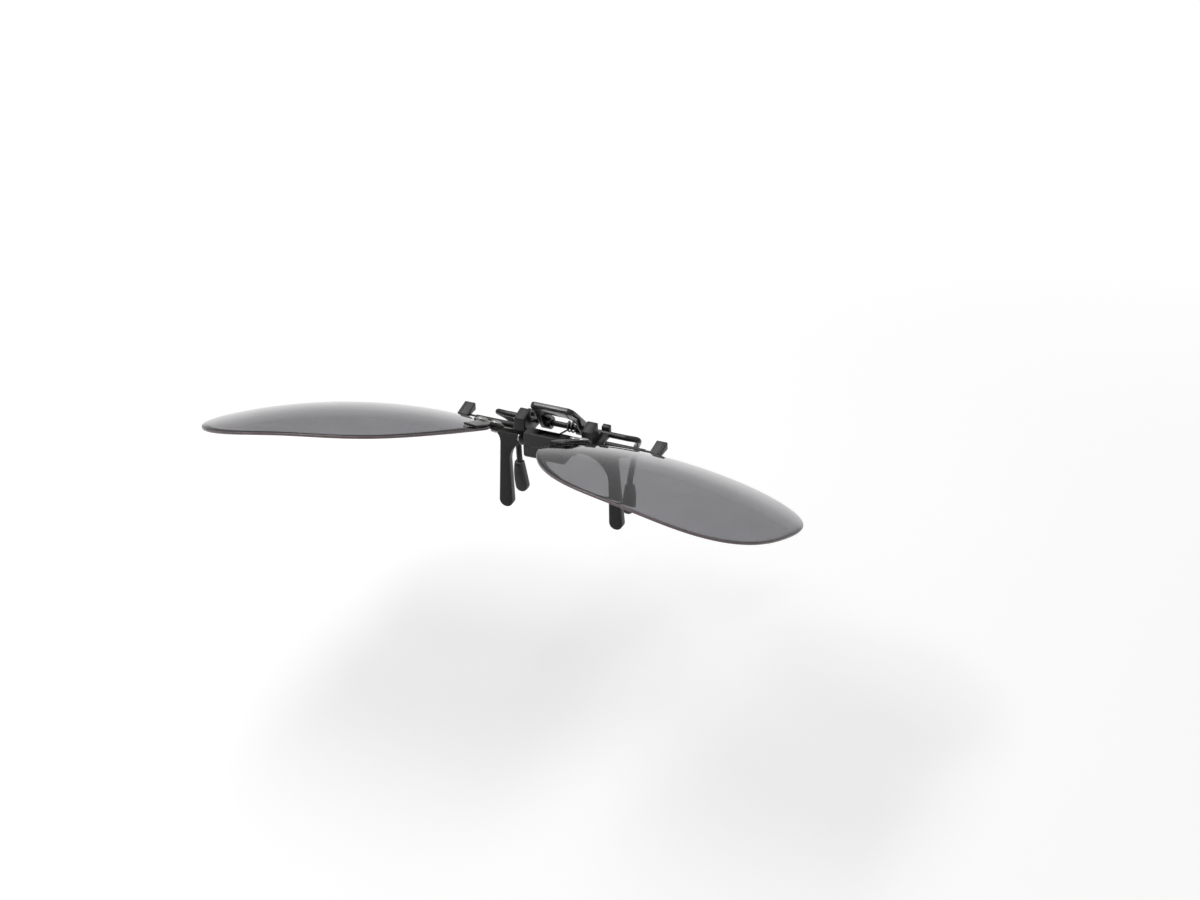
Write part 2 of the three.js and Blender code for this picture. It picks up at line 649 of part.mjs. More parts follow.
// Torsion spring: a foot on the jaw's back edge, a coil round the bar and an end in the lever's arm
class SpringWire extends THREE.Curve {
  constructor() {
    super();
    const drop = BAR_Z - JAW_TOP - FIT_GAP - SPRING_WIRE / 2;
    const reach = Math.hypot(BAR_Y, drop);
    this.start = Math.atan2(drop, BAR_Y) - Math.asin(COIL_RADIUS / reach);
    this.sweep = 2 * Math.PI * SPRING_TURNS + Math.PI / 2 + radians(LEVER_LEAN) - this.start;
    this.advance = (SPRING_PITCH * this.sweep) / (2 * Math.PI);
    this.endX = HUB_INNER - LEVER_SHIFT - 2 * FIT_GAP - SPRING_WIRE / 2;
    this.coil = Math.hypot(COIL_RADIUS * this.sweep, this.advance);
    this.bend = (SPRING_BEND * Math.PI) / 2;
    this.total = SPRING_FOOT + this.coil + SPRING_TAIL + this.bend + SPRING_END;
  }

  onCoil(turned) {
    const angle = this.start + turned;
    return new THREE.Vector3(
      this.endX - this.advance * (1 - turned / this.sweep),
      BAR_Y + COIL_RADIUS * Math.sin(angle),
      BAR_Z - COIL_RADIUS * Math.cos(angle),
    );
  }

  getPoint(t, target = new THREE.Vector3()) {
    const along = t * this.total;
    if (along < SPRING_FOOT) {
      const root = this.onCoil(0);
      const left = SPRING_FOOT - along;
      return target.set(
        root.x,
        root.y - left * Math.cos(this.start),
        root.z - left * Math.sin(this.start),
      );
    }
    if (along < SPRING_FOOT + this.coil) {
      return target.copy(this.onCoil((this.sweep * (along - SPRING_FOOT)) / this.coil));
    }
    const [up, aside] = this.onEnd(along - SPRING_FOOT - this.coil);
    const lean = radians(LEVER_LEAN);
    const root = this.onCoil(this.sweep);
    return target.set(
      root.x + aside,
      root.y - up * Math.sin(lean),
      root.z + up * Math.cos(lean),
    );
  }

  // Up the lever and sideways, past the coil's end
  onEnd(past) {
    const bent = past - SPRING_TAIL;
    if (bent < 0) return [past, 0];
    const angle = Math.min(bent / SPRING_BEND, Math.PI / 2);
    return [
      SPRING_TAIL + SPRING_BEND * Math.sin(angle),
      SPRING_BEND * (1 - Math.cos(angle)) + Math.max(bent - this.bend, 0),
    ];
  }

  // Least clear distance between stretches that are more than half a turn apart
  leastGap() {
    const points = this.getSpacedPoints(GAP_SAMPLES);
    const apart = Math.ceil((GAP_SAMPLES * Math.PI * COIL_RADIUS) / this.total);
    let least = Infinity;
    points.forEach((p, i) => {
      points.slice(i + apart).forEach((q) => {
        least = Math.min(least, p.distanceTo(q));
      });
    });
    return least - SPRING_WIRE;
  }
}

function torsionSpring() {
  const wire = new SpringWire();
  const step = (2 * Math.PI * COIL_RADIUS) / SPRING_STEPS_PER_TURN;
  return new THREE.ExtrudeGeometry(roundSection(SPRING_WIRE / 2, SPRING_SIDES), {
    steps: Math.ceil(wire.total / step),
    extrudePath: wire,
  });
}

// Lens outline radius at an angle from straight outwards, turning downwards
function outlineRadius(t) {
  const wave = ([c, s], count) => c * Math.cos(count * t) + s * Math.sin(count * t);
  const waves = wave(LENS_OVAL, 2) + wave(LENS_DROOP, 3) + wave(LENS_SQUARE, 4);
  const aside = (t - radians(LENS_CORNER_AT)) / radians(LENS_CORNER_SPAN);
  return LENS_RADIUS + waves + LENS_CORNER * Math.exp(-aside * aside);
}

function outlinePoint(t, inset) {
  const radius = outlineRadius(t) - inset;
  return [radius * Math.cos(t), -radius * Math.sin(t)];
}

// The lens hangs by its rivet: places are measured from the middle of the lens's sphere
const [RIVET_OUT, RIVET_UP] = outlinePoint(radians(LENS_RIVET_AT), LENS_RIVET_INSET);
const LENS_TURN = new THREE.Matrix4().makeRotationZ(radians(FACE_WRAP));
const CORNER_PITCH = -Math.asin(RIVET_UP / LENS_SPHERE);
const CORNER_YAW = Math.asin(RIVET_OUT / (LENS_SPHERE * Math.cos(CORNER_PITCH)));
const CORNER_TURN = new THREE.Matrix4().makeRotationFromEuler(
  new THREE.Euler(CORNER_PITCH, 0, CORNER_YAW, "ZXY"),
);
const SPHERE_MIDDLE = new THREE.Vector3(0, LENS_SPHERE, 0)
  .applyMatrix4(CORNER_TURN)
  .applyMatrix4(LENS_TURN)
  .add(new THREE.Vector3(CORNER_SPREAD, -CORNER_FORWARD, -CORNER_DROP));
const LENS_FRAME = LENS_TURN.clone().setPosition(SPHERE_MIDDLE);
const CORNER_FRAME = LENS_FRAME.clone().multiply(CORNER_TURN);
const BRACKET_BACK = LENS_SPHERE + FIT_GAP;
const BRACKET_SPHERE = BRACKET_BACK + BRACKET_THICK;
const REACH = Math.hypot(BRACKET_REACH_IN, BRACKET_REACH_UP);
const bracketSeat = (sphere) => -Math.sqrt(sphere * sphere - REACH * REACH);
const ARM_FACE = bracketSeat(BRACKET_BACK) + FIT_GAP;

function sphereShell(outer, thick) {
  const reach = LENS_RADIUS * SHELL_SPARE;
  const arc = (radius) =>
    Array.from({ length: LENS_RINGS + 1 }, (_, i) => {
      const r = (reach * i) / LENS_RINGS;
      return new THREE.Vector2(r, -Math.sqrt(radius * radius - r * r));
    });
  return new THREE.LatheGeometry([...arc(outer), ...arc(outer - thick).reverse()], LENS_SECTORS);
}

function cornerHole(radius, x, z) {
  const hole = new THREE.CylinderGeometry(radius, radius, LENS_RADIUS, ROUND_SIDES);
  return hole.translate(x, -LENS_SPHERE, z).applyMatrix4(CORNER_TURN);
}

function sunLens() {
  const corner = (i) => outlinePoint((2 * Math.PI * i) / LENS_OUTLINE_STEPS, 0);
  const outline = polygon(...Array.from({ length: LENS_OUTLINE_STEPS }, (_, i) => corner(i)));
  const column = squareToY(outline, -LENS_SPHERE - LENS_RADIUS, LENS_RADIUS - LENS_SPHERE);
  const blank = common(sphereShell(LENS_SPHERE, LENS_THICK), column);
  return cut(blank, cornerHole(RIVET_SHANK + FIT_GAP, 0, 0));
}

function lensBracket() {
  const tilt = Math.atan2(BRACKET_REACH_UP, -BRACKET_REACH_IN);
  const tab = new THREE.Shape();
  const half = Math.PI / 2;
  tab.absarc(RIVET_OUT, RIVET_UP, BRACKET_RADIUS, tilt + half, tilt + 3 * half, false);
  const endX = RIVET_OUT - BRACKET_REACH_IN;
  const endZ = RIVET_UP + BRACKET_REACH_UP;
  tab.absarc(endX, endZ, BRACKET_RADIUS, tilt - half, tilt + half, false);
  const angle = (i) => radians(THREE.MathUtils.lerp(BRACKET_LIP_FROM, BRACKET_LIP_TO, i / ARC_STEPS));
  const along = (inset) =>
    Array.from({ length: ARC_STEPS + 1 }, (_, i) => outlinePoint(angle(i), inset));
  const column = (shape) => squareToY(shape, -LENS_SPHERE - LENS_RADIUS, LENS_RADIUS - LENS_SPHERE);
  const lip = polygon(...along(FIT_GAP), ...along(BRACKET_LIP).reverse());
  const plan = join(column(tab), column(lip));
  const plate = common(sphereShell(BRACKET_SPHERE, BRACKET_THICK), plan);
  const hole = RIVET_SHANK + FIT_GAP;
  return cut(plate, cornerHole(hole, 0, 0), cornerHole(hole, -BRACKET_REACH_IN, BRACKET_REACH_UP));
}

// A rivet along Y from its domed head in front to its flattened tail
function rivet(front, back) {
  const seat = front - FIT_GAP;
  const end = back + FIT_GAP + RIVET_TAIL;
  const points = [new THREE.Vector2(0, seat - RIVET_HEAD)];
  for (let i = 1; i <= ARC_STEPS / 2; i += 1) {
    const a = (Math.PI / ARC_STEPS) * i;
    const height = seat - RIVET_HEAD * Math.cos(a);
    points.push(new THREE.Vector2(RIVET_HEAD_RADIUS * Math.sin(a), height));
  }
  points.push(new THREE.Vector2(RIVET_SHANK, seat));
  points.push(new THREE.Vector2(RIVET_SHANK, back + FIT_GAP));
  points.push(new THREE.Vector2(RIVET_TAIL_RADIUS, back + FIT_GAP));
  points.push(new THREE.Vector2(RIVET_TAIL_RADIUS, end));
  points.push(new THREE.Vector2(0, end));
  return new THREE.LatheGeometry(points, ROUND_SIDES);
}

function lensRivet() {
  return rivet(-BRACKET_SPHERE, LENS_THICK - LENS_SPHERE);
}

function bracketRivet() {
  const body = rivet(bracketSeat(BRACKET_SPHERE), ARM_FACE + BRIDGE_ARM_THICK);
  return body.translate(-BRACKET_REACH_IN, 0, BRACKET_REACH_UP);
}

// Barrel with two flat arms that reach down to the bracket rivets
function flipBridge() {
  const toCorner = CORNER_FRAME.clone().invert();
  const root = new THREE.Vector3((HUB_ROOT + HUB_END) / 2, 0, 0).applyMatrix4(toCorner);
  const rootHalf = (HUB_END - HUB_ROOT) / 2;
  const tip = new THREE.Vector3(-BRACKET_REACH_IN, 0, BRACKET_REACH_UP);
  const run = Math.atan2(root.z - tip.z, root.x - tip.x);
  const arm = new THREE.Shape();
  arm.absarc(tip.x, tip.z, BRIDGE_ARM_HALF, run + Math.PI / 2, run + 1.5 * Math.PI, false);
  arm.lineTo(root.x + rootHalf, root.z - BARREL_HUB);
  arm.lineTo(root.x + rootHalf, root.z);
  arm.lineTo(root.x - rootHalf, root.z);
  arm.lineTo(root.x - rootHalf, root.z - BARREL_HUB);
  const plate = squareToY(arm, ARM_FACE, ARM_FACE + BRIDGE_ARM_THICK);
  const holeRadius = RIVET_SHANK + FIT_GAP;
  const hole = new THREE.CylinderGeometry(holeRadius, holeRadius, LENS_RADIUS, ROUND_SIDES);
  hole.translate(tip.x, ARM_FACE, tip.z);
  const right = cut(plate, hole).applyMatrix4(CORNER_FRAME);
  const flatHalf = LEAF_HALF + RUN_GAP;
  const flatZ = BARREL_FLAT - BARREL_RADIUS;
  const flat = () =>
    block(-flatHalf, flatHalf, -BARREL_RADIUS, BARREL_RADIUS, -2 * BARREL_RADIUS, flatZ);
  const body = join(
    roundBar(BARREL_RADIUS, -BARREL_HALF, BARREL_HALF, 0, 0),
    roundBar(BARREL_HUB, -HUB_END, HUB_END, 0, 0),
    right,
    mirrored(right),
  );
  const boreEnd = HUB_END + CUT_PAST;
  const bore = roundBar(PIN_RADIUS + FIT_GAP, -boreEnd, boreEnd, 0, 0);
  return cut(body, bore, flat(), flat().rotateX(radians(FLIP_ANGLE)));
}

// The assembly

function mesh(name, geometry, finish) {
  const made = new THREE.Mesh(geometry, new THREE.MeshStandardMaterial(finish));
  made.name = name;
  return made;
}

function frameGroup(matrix, ...children) {
  const group = new THREE.Group();
  matrix.decompose(group.position, group.quaternion, group.scale);
  group.add(...children);
  return group;
}

// Pieces that the clip and the carrier have on each side; the left is the right's mirror image
function clampSide(side) {
  const group = new THREE.Group();
  group.add(
    mesh(`${side}_ear_block`, earBlock(), FINISH.satinBlack),
    mesh(`${side}_hook_arm`, hookArm(), FINISH.satinBlack),
    mesh(`${side}_rim_hook`, rimHook(), FINISH.rubber),
    mesh(`${side}_rear_pad`, rearPad(), FINISH.rubber),
  );
  return group;
}

function lensSide(side) {
  return new THREE.Group().add(
    frameGroup(
      LENS_FRAME,
      mesh(`${side}_sun_lens`, sunLens(), FINISH.greyLens),
      mesh(`${side}_lens_bracket`, lensBracket(), FINISH.satinBlack),
    ),
    frameGroup(
      CORNER_FRAME,
      mesh(`${side}_lens_rivet`, lensRivet(), FINISH.steel),
      mesh(`${side}_bracket_rivet`, bracketRivet(), FINISH.steel),
    ),
  );
}

function bothSides(build) {
  const left = build("left");
  left.scale.x = -1;
  return [left, build("right")];
}

const lever = mesh("thumb_lever", thumbLever(), FINISH.glossBlack);
lever.position.set(0, BAR_Y, BAR_Z);
lever.rotation.x = radians(LEVER_LEAN);

const carrier = new THREE.Group();
carrier.position.set(0, FLIP_Y, FLIP_Z);
carrier.rotation.x = -radians(FLIP_ANGLE);
carrier.add(
  mesh("flip_bridge", flipBridge(), FINISH.satinBlack),
  mesh("flip_pin", flipPin(), FINISH.steel),
  ...bothSides(lensSide),
);

const sunglasses = new THREE.Group();
sunglasses.add(
  mesh("front_jaw", frontJaw(), FINISH.satinBlack),
  mesh("hinge_cradle", hingeCradle(), FINISH.satinBlack),
  mesh("detent_spring", detentSpring(), FINISH.springSteel),
  mesh("right_torsion_spring", torsionSpring(), FINISH.springSteel),
  mesh("rear_jaw_wire", rearJawWire(), FINISH.satinBlack),
  lever,
  ...bothSides(clampSide),
  carrier,
);

console.log(`torsion spring least gap to itself ${new SpringWire().leastGap().toFixed(2)} mm`);

export default sunglasses;
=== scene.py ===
"""Looks of the flip-up clip-on sunglasses: smooth lenses, black clamp, rubber grips, bright rivets.

Shapes are modelled in millimetres in the part's own frame (X across the face, Y back to the wearer,
Z up) and shrunk to metres when a piece is made.
"""

import json
import logging
import math
from collections.abc import Callable, Iterable
from dataclasses import dataclass, field
from enum import Enum

import bmesh
import bpy
from bmesh.types import BMEdge, BMesh, BMVert
from bpy.types import Material, Node, NodeSocket, NodeTree
from mathutils import Matrix, Vector


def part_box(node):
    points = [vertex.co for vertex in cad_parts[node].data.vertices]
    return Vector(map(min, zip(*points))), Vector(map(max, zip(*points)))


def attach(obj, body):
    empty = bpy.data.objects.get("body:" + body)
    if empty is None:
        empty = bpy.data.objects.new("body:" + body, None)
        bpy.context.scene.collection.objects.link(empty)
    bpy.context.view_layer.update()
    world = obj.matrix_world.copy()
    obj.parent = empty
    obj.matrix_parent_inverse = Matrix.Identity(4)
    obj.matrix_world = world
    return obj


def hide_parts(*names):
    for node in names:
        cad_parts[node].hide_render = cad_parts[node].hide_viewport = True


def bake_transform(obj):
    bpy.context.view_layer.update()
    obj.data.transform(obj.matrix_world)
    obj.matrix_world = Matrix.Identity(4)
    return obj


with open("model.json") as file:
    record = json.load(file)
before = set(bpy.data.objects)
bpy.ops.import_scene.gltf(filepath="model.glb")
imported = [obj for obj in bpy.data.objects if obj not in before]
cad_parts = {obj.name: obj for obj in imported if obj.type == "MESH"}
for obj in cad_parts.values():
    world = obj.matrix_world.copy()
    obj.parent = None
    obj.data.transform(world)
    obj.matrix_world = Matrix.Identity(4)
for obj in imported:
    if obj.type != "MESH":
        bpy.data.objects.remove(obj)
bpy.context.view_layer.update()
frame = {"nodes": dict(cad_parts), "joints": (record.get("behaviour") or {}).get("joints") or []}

MM = 0.001
WELD = 1e-3
LOG = logging.getLogger("sunglasses")
JOINT_AT = {joint["name"]: Vector(joint["pos_m"]) / MM for joint in frame["joints"]}
FLIP_AXIS = JOINT_AT["flip_hinge"]
BAR_AXIS = JOINT_AT["clamp_hinge"]
ORIGIN = Vector((0, 0, 0))
WHITE = (1, 1, 1, 1)

# Bends in degrees: flatter facets are joined, and sharper edges stay sharp
FLAT_BEND = 1.0
CREASE = 32.0

# Steps along curves
ARC_STEPS = 20
PATH_STEPS = 8
COIL_STEPS = 32
BEND_STEPS = 8
DOME_STEPS = 10

# Strips across a rounded edge
FEW_STRIPS = 2
STRIPS = 3
FINE_STRIPS = 4
FINEST_STRIPS = 5

# Strips round a round piece
SPRING_SIDES = 12
WIRE_SIDES = 24
PIN_SIDES = 32
RIVET_SIDES = 40
BAR_SIDES = 48
BARREL_SIDES = 64

Point = tuple[float, float]
Triple = tuple[float, float, float]


class Body(Enum):
    """The rigid bodies that pieces ride on."""

    CLIP = "clip"
    REAR_JAW = "rear_jaw"
    CARRIER = "lens_carrier"


class Slot(Enum):
    """The record's material slots."""

    SATIN_BLACK = "satin_black"
    BLACK_WIRE = "black_wire"
    GRIP_RUBBER = "grip_rubber"
    GLOSS_BLACK = "gloss_black"
    BRIGHT_STEEL = "bright_steel"
    SPRING_STEEL = "spring_steel"
    GREY_LENS = "grey_lens"


class Side(Enum):
    """The two halves of the clip, as seen from the front."""

    LEFT = "left"
    RIGHT = "right"


class Rounding(Enum):
    """Which edges of a drawn-out shape are rounded."""

    RIMS = "rims"
    ALL = "all"


class Join(Enum):
    """What is done with the tools of a combined shape."""

    ADD = "UNION"
    CUT = "DIFFERENCE"


class Run(Enum):
    """The axis that an outline is drawn out along."""

    ALONG_X = "x"
    ALONG_Y = "y"

    def place(self, a: float, b: float, depth: float) -> Vector:
        """A point of the outline at a depth along the axis."""
        return Vector((depth, a, b)) if self is Run.ALONG_X else Vector((a, depth, b))

    def vector(self, length: float) -> Vector:
        """A step along the axis."""
        return Vector((length, 0, 0)) if self is Run.ALONG_X else Vector((0, length, 0))


class Outline:
    """A closed outline of lines, arcs and curves, in millimetres."""

    def __init__(self, *points: Point) -> None:
        """Starts at the first of some points joined by lines."""
        self.points: list[Point] = list(points)

    def line(self, *points: Point) -> "Outline":
        """Adds straight stretches."""
        self.points.extend(points)
        return self

    def arc(self, centre: Point, radius: float, start: float, end: float) -> "Outline":
        """Adds an arc.

        Args:
            centre: middle of the arc.
            radius: its radius.
            start: first angle in degrees, from the first axis towards the second.
            end: last angle.

        Returns:
            The same outline.
        """
        x, y = centre
        for step in range(ARC_STEPS + 1):
            angle = math.radians(start + (end - start) * step / ARC_STEPS)
            self.points.append((x + radius * math.cos(angle), y + radius * math.sin(angle)))
        return self

    def curve(self, pull: Point, end: Point) -> "Outline":
        """Adds a curve that leaves towards a pull point and ends at another.

        Args:
            pull: the point that draws the curve.
            end: where it ends.

        Returns:
            The same outline.
        """
        start = Vector(self.points[-1])
        for step in range(1, ARC_STEPS + 1):
            share = step / ARC_STEPS
            near = start.lerp(Vector(pull), share)
            self.points.append(tuple(near.lerp(Vector(pull).lerp(Vector(end), share), share)))
        return self


# Modelling steps


def verts_of(geometry: Iterable[object]) -> list[BMVert]:
    """The vertices among an operator's results."""
    return [item for item in geometry if isinstance(item, BMVert)]


def edges_across(form: BMesh, run: Run) -> list[BMEdge]:
    """The edges that lie square to an axis."""
    along = run.vector(1)
    return [e for e in form.edges if abs((e.verts[0].co - e.verts[1].co).dot(along)) < WELD]


def moved(form: BMesh, place: Matrix) -> BMesh:
    """The same shape, put in its place."""
    bmesh.ops.transform(form, matrix=place, verts=form.verts[:])
    return form


def mirrored(form: BMesh) -> BMesh:
    """The same shape, turned over to the left half."""
    bmesh.ops.scale(form, vec=(-1, 1, 1), verts=form.verts[:])
    bmesh.ops.reverse_faces(form, faces=form.faces[:])
    return form


def round_edges(form: BMesh, edges: list[BMEdge], width: float, strips: int) -> None:
    """Rounds some edges.

    Args:
        form: the shape.
        edges: the edges to round.
        width: how far the rounding reaches from each edge.
        strips: how many strips it has.
    """
    bmesh.ops.bevel(
        form,
        geom=edges,
        offset=width,
        offset_type="OFFSET",
        affect="EDGES",
        segments=strips,
        profile=0.5,
        material=-1,
        clamp_overlap=False,
    )


def prism(
    outline: Outline,
    run: Run,
    low: float,
    high: float,
    edge: float = 0.0,
    strips: int = STRIPS,
    rounding: Rounding = Rounding.RIMS,
) -> BMesh:
    """An outline drawn out to a solid.

    Args:
        outline: its outline, in the two axes across the run.
        run: the axis it is drawn out along.
        low: where it starts.
        high: where it ends.
        edge: width of the rounding.
        strips: strips in the rounding.
        rounding: which edges are rounded.

    Returns:
        The closed shape.
    """
    form = bmesh.new()
    form.faces.new([form.verts.new(run.place(a, b, low)) for a, b in outline.points])
    bmesh.ops.remove_doubles(form, verts=form.verts[:], dist=WELD)
    far = bmesh.ops.extrude_face_region(form, geom=form.faces[:])["geom"]
    bmesh.ops.translate(form, verts=verts_of(far), vec=run.vector(high - low))
    bmesh.ops.recalc_face_normals(form, faces=form.faces[:])
    if edge:
        edges = form.edges[:] if rounding is Rounding.ALL else edges_across(form, run)
        round_edges(form, edges, edge, strips)
    return form


def box(x: Point, y: Point, z: Point, edge: float = 0.0) -> BMesh:
    """A block.

    Args:
        x: where it starts and ends along X.
        y: along Y.
        z: along Z.
        edge: width of the rounding of its edges.

    Returns:
        The closed shape.
    """
    form = bmesh.new()
    middle = [sum(span) / 2 for span in (x, y, z)]
    sizes = [span[1] - span[0] for span in (x, y, z)]
    place = Matrix.Translation(middle) @ Matrix.Diagonal((*sizes, 1))
    bmesh.ops.create_cube(form, size=1, matrix=place)
    if edge:
        round_edges(form, form.edges[:], edge, STRIPS)
    return form


def sweep(path: list[Vector], radius: float, sides: int, end_round: float) -> BMesh:
    """A round wire along a path, with rounded ends.

    Args:
        path: points along its middle.
        radius: the wire's radius.
        sides: strips round it.
        end_round: width of the rounding at each end.

    Returns:
        The closed shape.
    """
    form = bmesh.new()
    heading = (path[1] - path[0]).normalized()
    turn = heading.to_track_quat("Z", "Y")
    start = Matrix.Translation(path[0]) @ turn.to_matrix().to_4x4()
    bmesh.ops.create_circle(form, cap_ends=True, segments=sides, radius=radius, matrix=start)
    first_ring = ring = form.edges[:]
    for index in range(1, len(path)):
        ahead = path[min(index + 1, len(path) - 1)] - path[index - 1]
        bend = heading.rotation_difference(ahead.normalized())
        made = bmesh.ops.extrude_edge_only(form, edges=ring)["geom"]
        fresh = verts_of(made)
        move = Matrix.Translation(path[index]) @ bend.to_matrix().to_4x4()
        move = move @ Matrix.Translation(-path[index - 1])
        bmesh.ops.transform(form, matrix=move, verts=fresh)
        among = set(fresh)
        ring = [e for e in made if isinstance(e, BMEdge) and among.issuperset(e.verts)]
        heading = ahead.normalized()
    bmesh.ops.holes_fill(form, edges=ring, sides=sides)
    bmesh.ops.recalc_face_normals(form, faces=form.faces[:])
    round_edges(form, first_ring + ring, end_round, STRIPS)
    return form


def turned(profile: list[Point], steps: int) -> BMesh:
    """A profile turned about the Y axis.

    Args:
        profile: radius and height of each corner, from the axis to the axis.
        steps: strips round the turn.

    Returns:
        The closed shape.
    """
    form = bmesh.new()
    corners = [form.verts.new((radius, height, 0)) for radius, height in profile]
    edges = [form.edges.new(pair) for pair in zip(corners, corners[1:])]
    bmesh.ops.spin(
        form,
        geom=corners + edges,
        cent=(0, 0, 0),
        axis=(0, 1, 0),
        angle=2 * math.pi,
        steps=steps,
        use_merge=True,
    )
    bmesh.ops.remove_doubles(form, verts=form.verts[:], dist=WELD)
    bmesh.ops.recalc_face_normals(form, faces=form.faces[:])
    return form


def round_bar(
    radius: float,
    low: float,
    high: float,
    at: Vector,
    sides: int = BAR_SIDES,
    edge: float = 0.0,
    run: Run = Run.ALONG_X,
) -> BMesh:
    """A round bar.

    Args:
        radius: its radius.
        low: where it starts.
        high: where it ends.
        at: a point on its axis.
        sides: strips round it.
        edge: rounding of its ends.
        run: the axis that it lies along.

    Returns:
        The closed shape.
    """
    form = bmesh.new()
    lay = run.vector(1).to_track_quat("Z", "Y").to_matrix().to_4x4()
    across = at - run.vector(at.dot(run.vector(1)))
    bmesh.ops.create_cone(
        form,
        cap_ends=True,
        segments=sides,
        radius1=radius,
        radius2=radius,
        depth=high - low,
        matrix=Matrix.Translation(across + run.vector((low + high) / 2)) @ lay,
    )
    if edge:
        round_edges(form, edges_across(form, run), edge, FINE_STRIPS)
    return form


def softened(node: str, width: float) -> BMesh:
    """A copy of a solid with its flat facets joined and its sharp edges rounded.

    Args:
        node: the solid's name.
        width: width of the rounding.

    Returns:
        The closed shape.
    """
    form = bmesh.new()
    form.from_mesh(frame["nodes"][node].data)
    bmesh.ops.scale(form, vec=Vector((1, 1, 1)) / MM, verts=form.verts[:])
    bmesh.ops.remove_doubles(form, verts=form.verts[:], dist=WELD)
    flat = math.radians(FLAT_BEND)
    bmesh.ops.dissolve_limit(form, angle_limit=flat, verts=form.verts[:], edges=form.edges[:])
    shared = [e for e in form.edges if len(e.link_faces) == 2]
    sharp = [e for e in shared if e.calc_face_angle() > math.radians(CREASE)]
    round_edges(form, sharp, width, FEW_STRIPS)
    return form


def loose_object(form: BMesh, name: str) -> bpy.types.Object:
    """An object of a shape, which is freed.

    Args:
        form: the shape.
        name: the object's name.

    Returns:
        The object, in the scene.
    """
    mesh = bpy.data.meshes.new(name)
    form.to_mesh(mesh)
    form.free()
    made = bpy.data.objects.new(name, mesh)
    bpy.context.scene.collection.objects.link(made)
    return made


def combine(base: BMesh, join: Join, *tools: BMesh) -> BMesh:
    """Joins shapes to a base or cuts them out of it.

    Args:
        base: the first shape, which is freed.
        join: what is done with the tools.
        tools: the other shapes, which are freed.

    Returns:
        The closed result.
    """
    body = loose_object(base, "work_base")
    helpers = [loose_object(tool, "work_tool") for tool in tools]
    for helper in helpers:
        step = body.modifiers.new("step", "BOOLEAN")
        step.operation = join.value
        step.solver = "EXACT"
        step.object = helper
    result = bmesh.new()
    result.from_object(body, bpy.context.evaluated_depsgraph_get())
    for spent in [body, *helpers]:
        mesh = spent.data
        bpy.data.objects.remove(spent)
        bpy.data.meshes.remove(mesh)
    bmesh.ops.remove_doubles(result, verts=result.verts[:], dist=WELD)
    bmesh.ops.dissolve_degenerate(result, edges=result.edges[:], dist=WELD)
    return result


def smooth_path(points: list[Vector], per_span: int) -> list[Vector]:
    """A smooth line through points, which bends evenly whatever their spacing.

    Args:
        points: what the line passes through.
        per_span: steps between neighbours.

    Returns:
        Points along the line.
    """
    first = points[0] * 2 - points[1]
    last = points[-1] * 2 - points[-2]
    chain = [first, *points, last]
    line: list[Vector] = []
    for p0, p1, p2, p3 in zip(chain, chain[1:], chain[2:], chain[3:]):
        t1 = math.sqrt((p1 - p0).length)
        t2 = t1 + math.sqrt((p2 - p1).length)
        t3 = t2 + math.sqrt((p3 - p2).length)
        for step in range(per_span):
            t = t1 + (t2 - t1) * step / per_span
            a1 = p0.lerp(p1, t / t1)
            a2 = p1.lerp(p2, (t - t1) / (t2 - t1))
            a3 = p2.lerp(p3, (t - t2) / (t3 - t2))
            b1 = a1.lerp(a2, t / t2)
            b2 = a2.lerp(a3, (t - t1) / (t3 - t1))
            line.append(b1.lerp(b2, (t - t1) / (t2 - t1)))
    return [*line, points[-1].copy()]


# Finishes


class Board:
    """A node tree with short calls to add and feed nodes."""

    def __init__(self, tree: NodeTree) -> None:
        """Works on a tree."""
        self.tree = tree

    def add(self, kind: str, sockets: dict | None = None, **values: object) -> Node:
        """Adds a node.

        Args:
            kind: Blender's name of the node type.
            sockets: what its inputs get, by name or number.
            values: properties of the node, set as they are.

        Returns:
            The node.
        """
        node = self.tree.nodes.new(kind)
        for name, value in values.items():
            setattr(node, name, value)
        self.feed(node, sockets or {})
        return node

    def feed(self, node: Node, sockets: dict) -> None:
        """Joins outputs to a node's inputs, or sets them.

        Args:
            node: the node.
            sockets: an output, a number or a colour for each input, by name or number.
        """
        for key, value in sockets.items():
            if isinstance(value, NodeSocket):
                self.tree.links.new(value, node.inputs[key])
            else:
                node.inputs[key].default_value = value


def new_group(
    name: str, levels: tuple[str, ...], results: tuple[str, ...]
) -> tuple[Board, bpy.types.NodeOutputs, Node]:
    """A shader group that reads a place and a scale.

    Args:
        name: the group's name.
        levels: its other inputs, all numbers.
        results: its outputs, all numbers.

    Returns:
        Its board, the sockets that bring its inputs and the node that takes its outputs.
    """
    tree = bpy.data.node_groups.new(name, "ShaderNodeTree")
    number = "NodeSocketFloat"
    tree.interface.new_socket("Vector", in_out="INPUT", socket_type="NodeSocketVector")
    for label in ("Scale", *levels):
        tree.interface.new_socket(label, in_out="INPUT", socket_type=number)
    for label in results:
        tree.interface.new_socket(label, in_out="OUTPUT", socket_type=number)
    board = Board(tree)
    return board, board.add("NodeGroupInput").outputs, board.add("NodeGroupOutput")


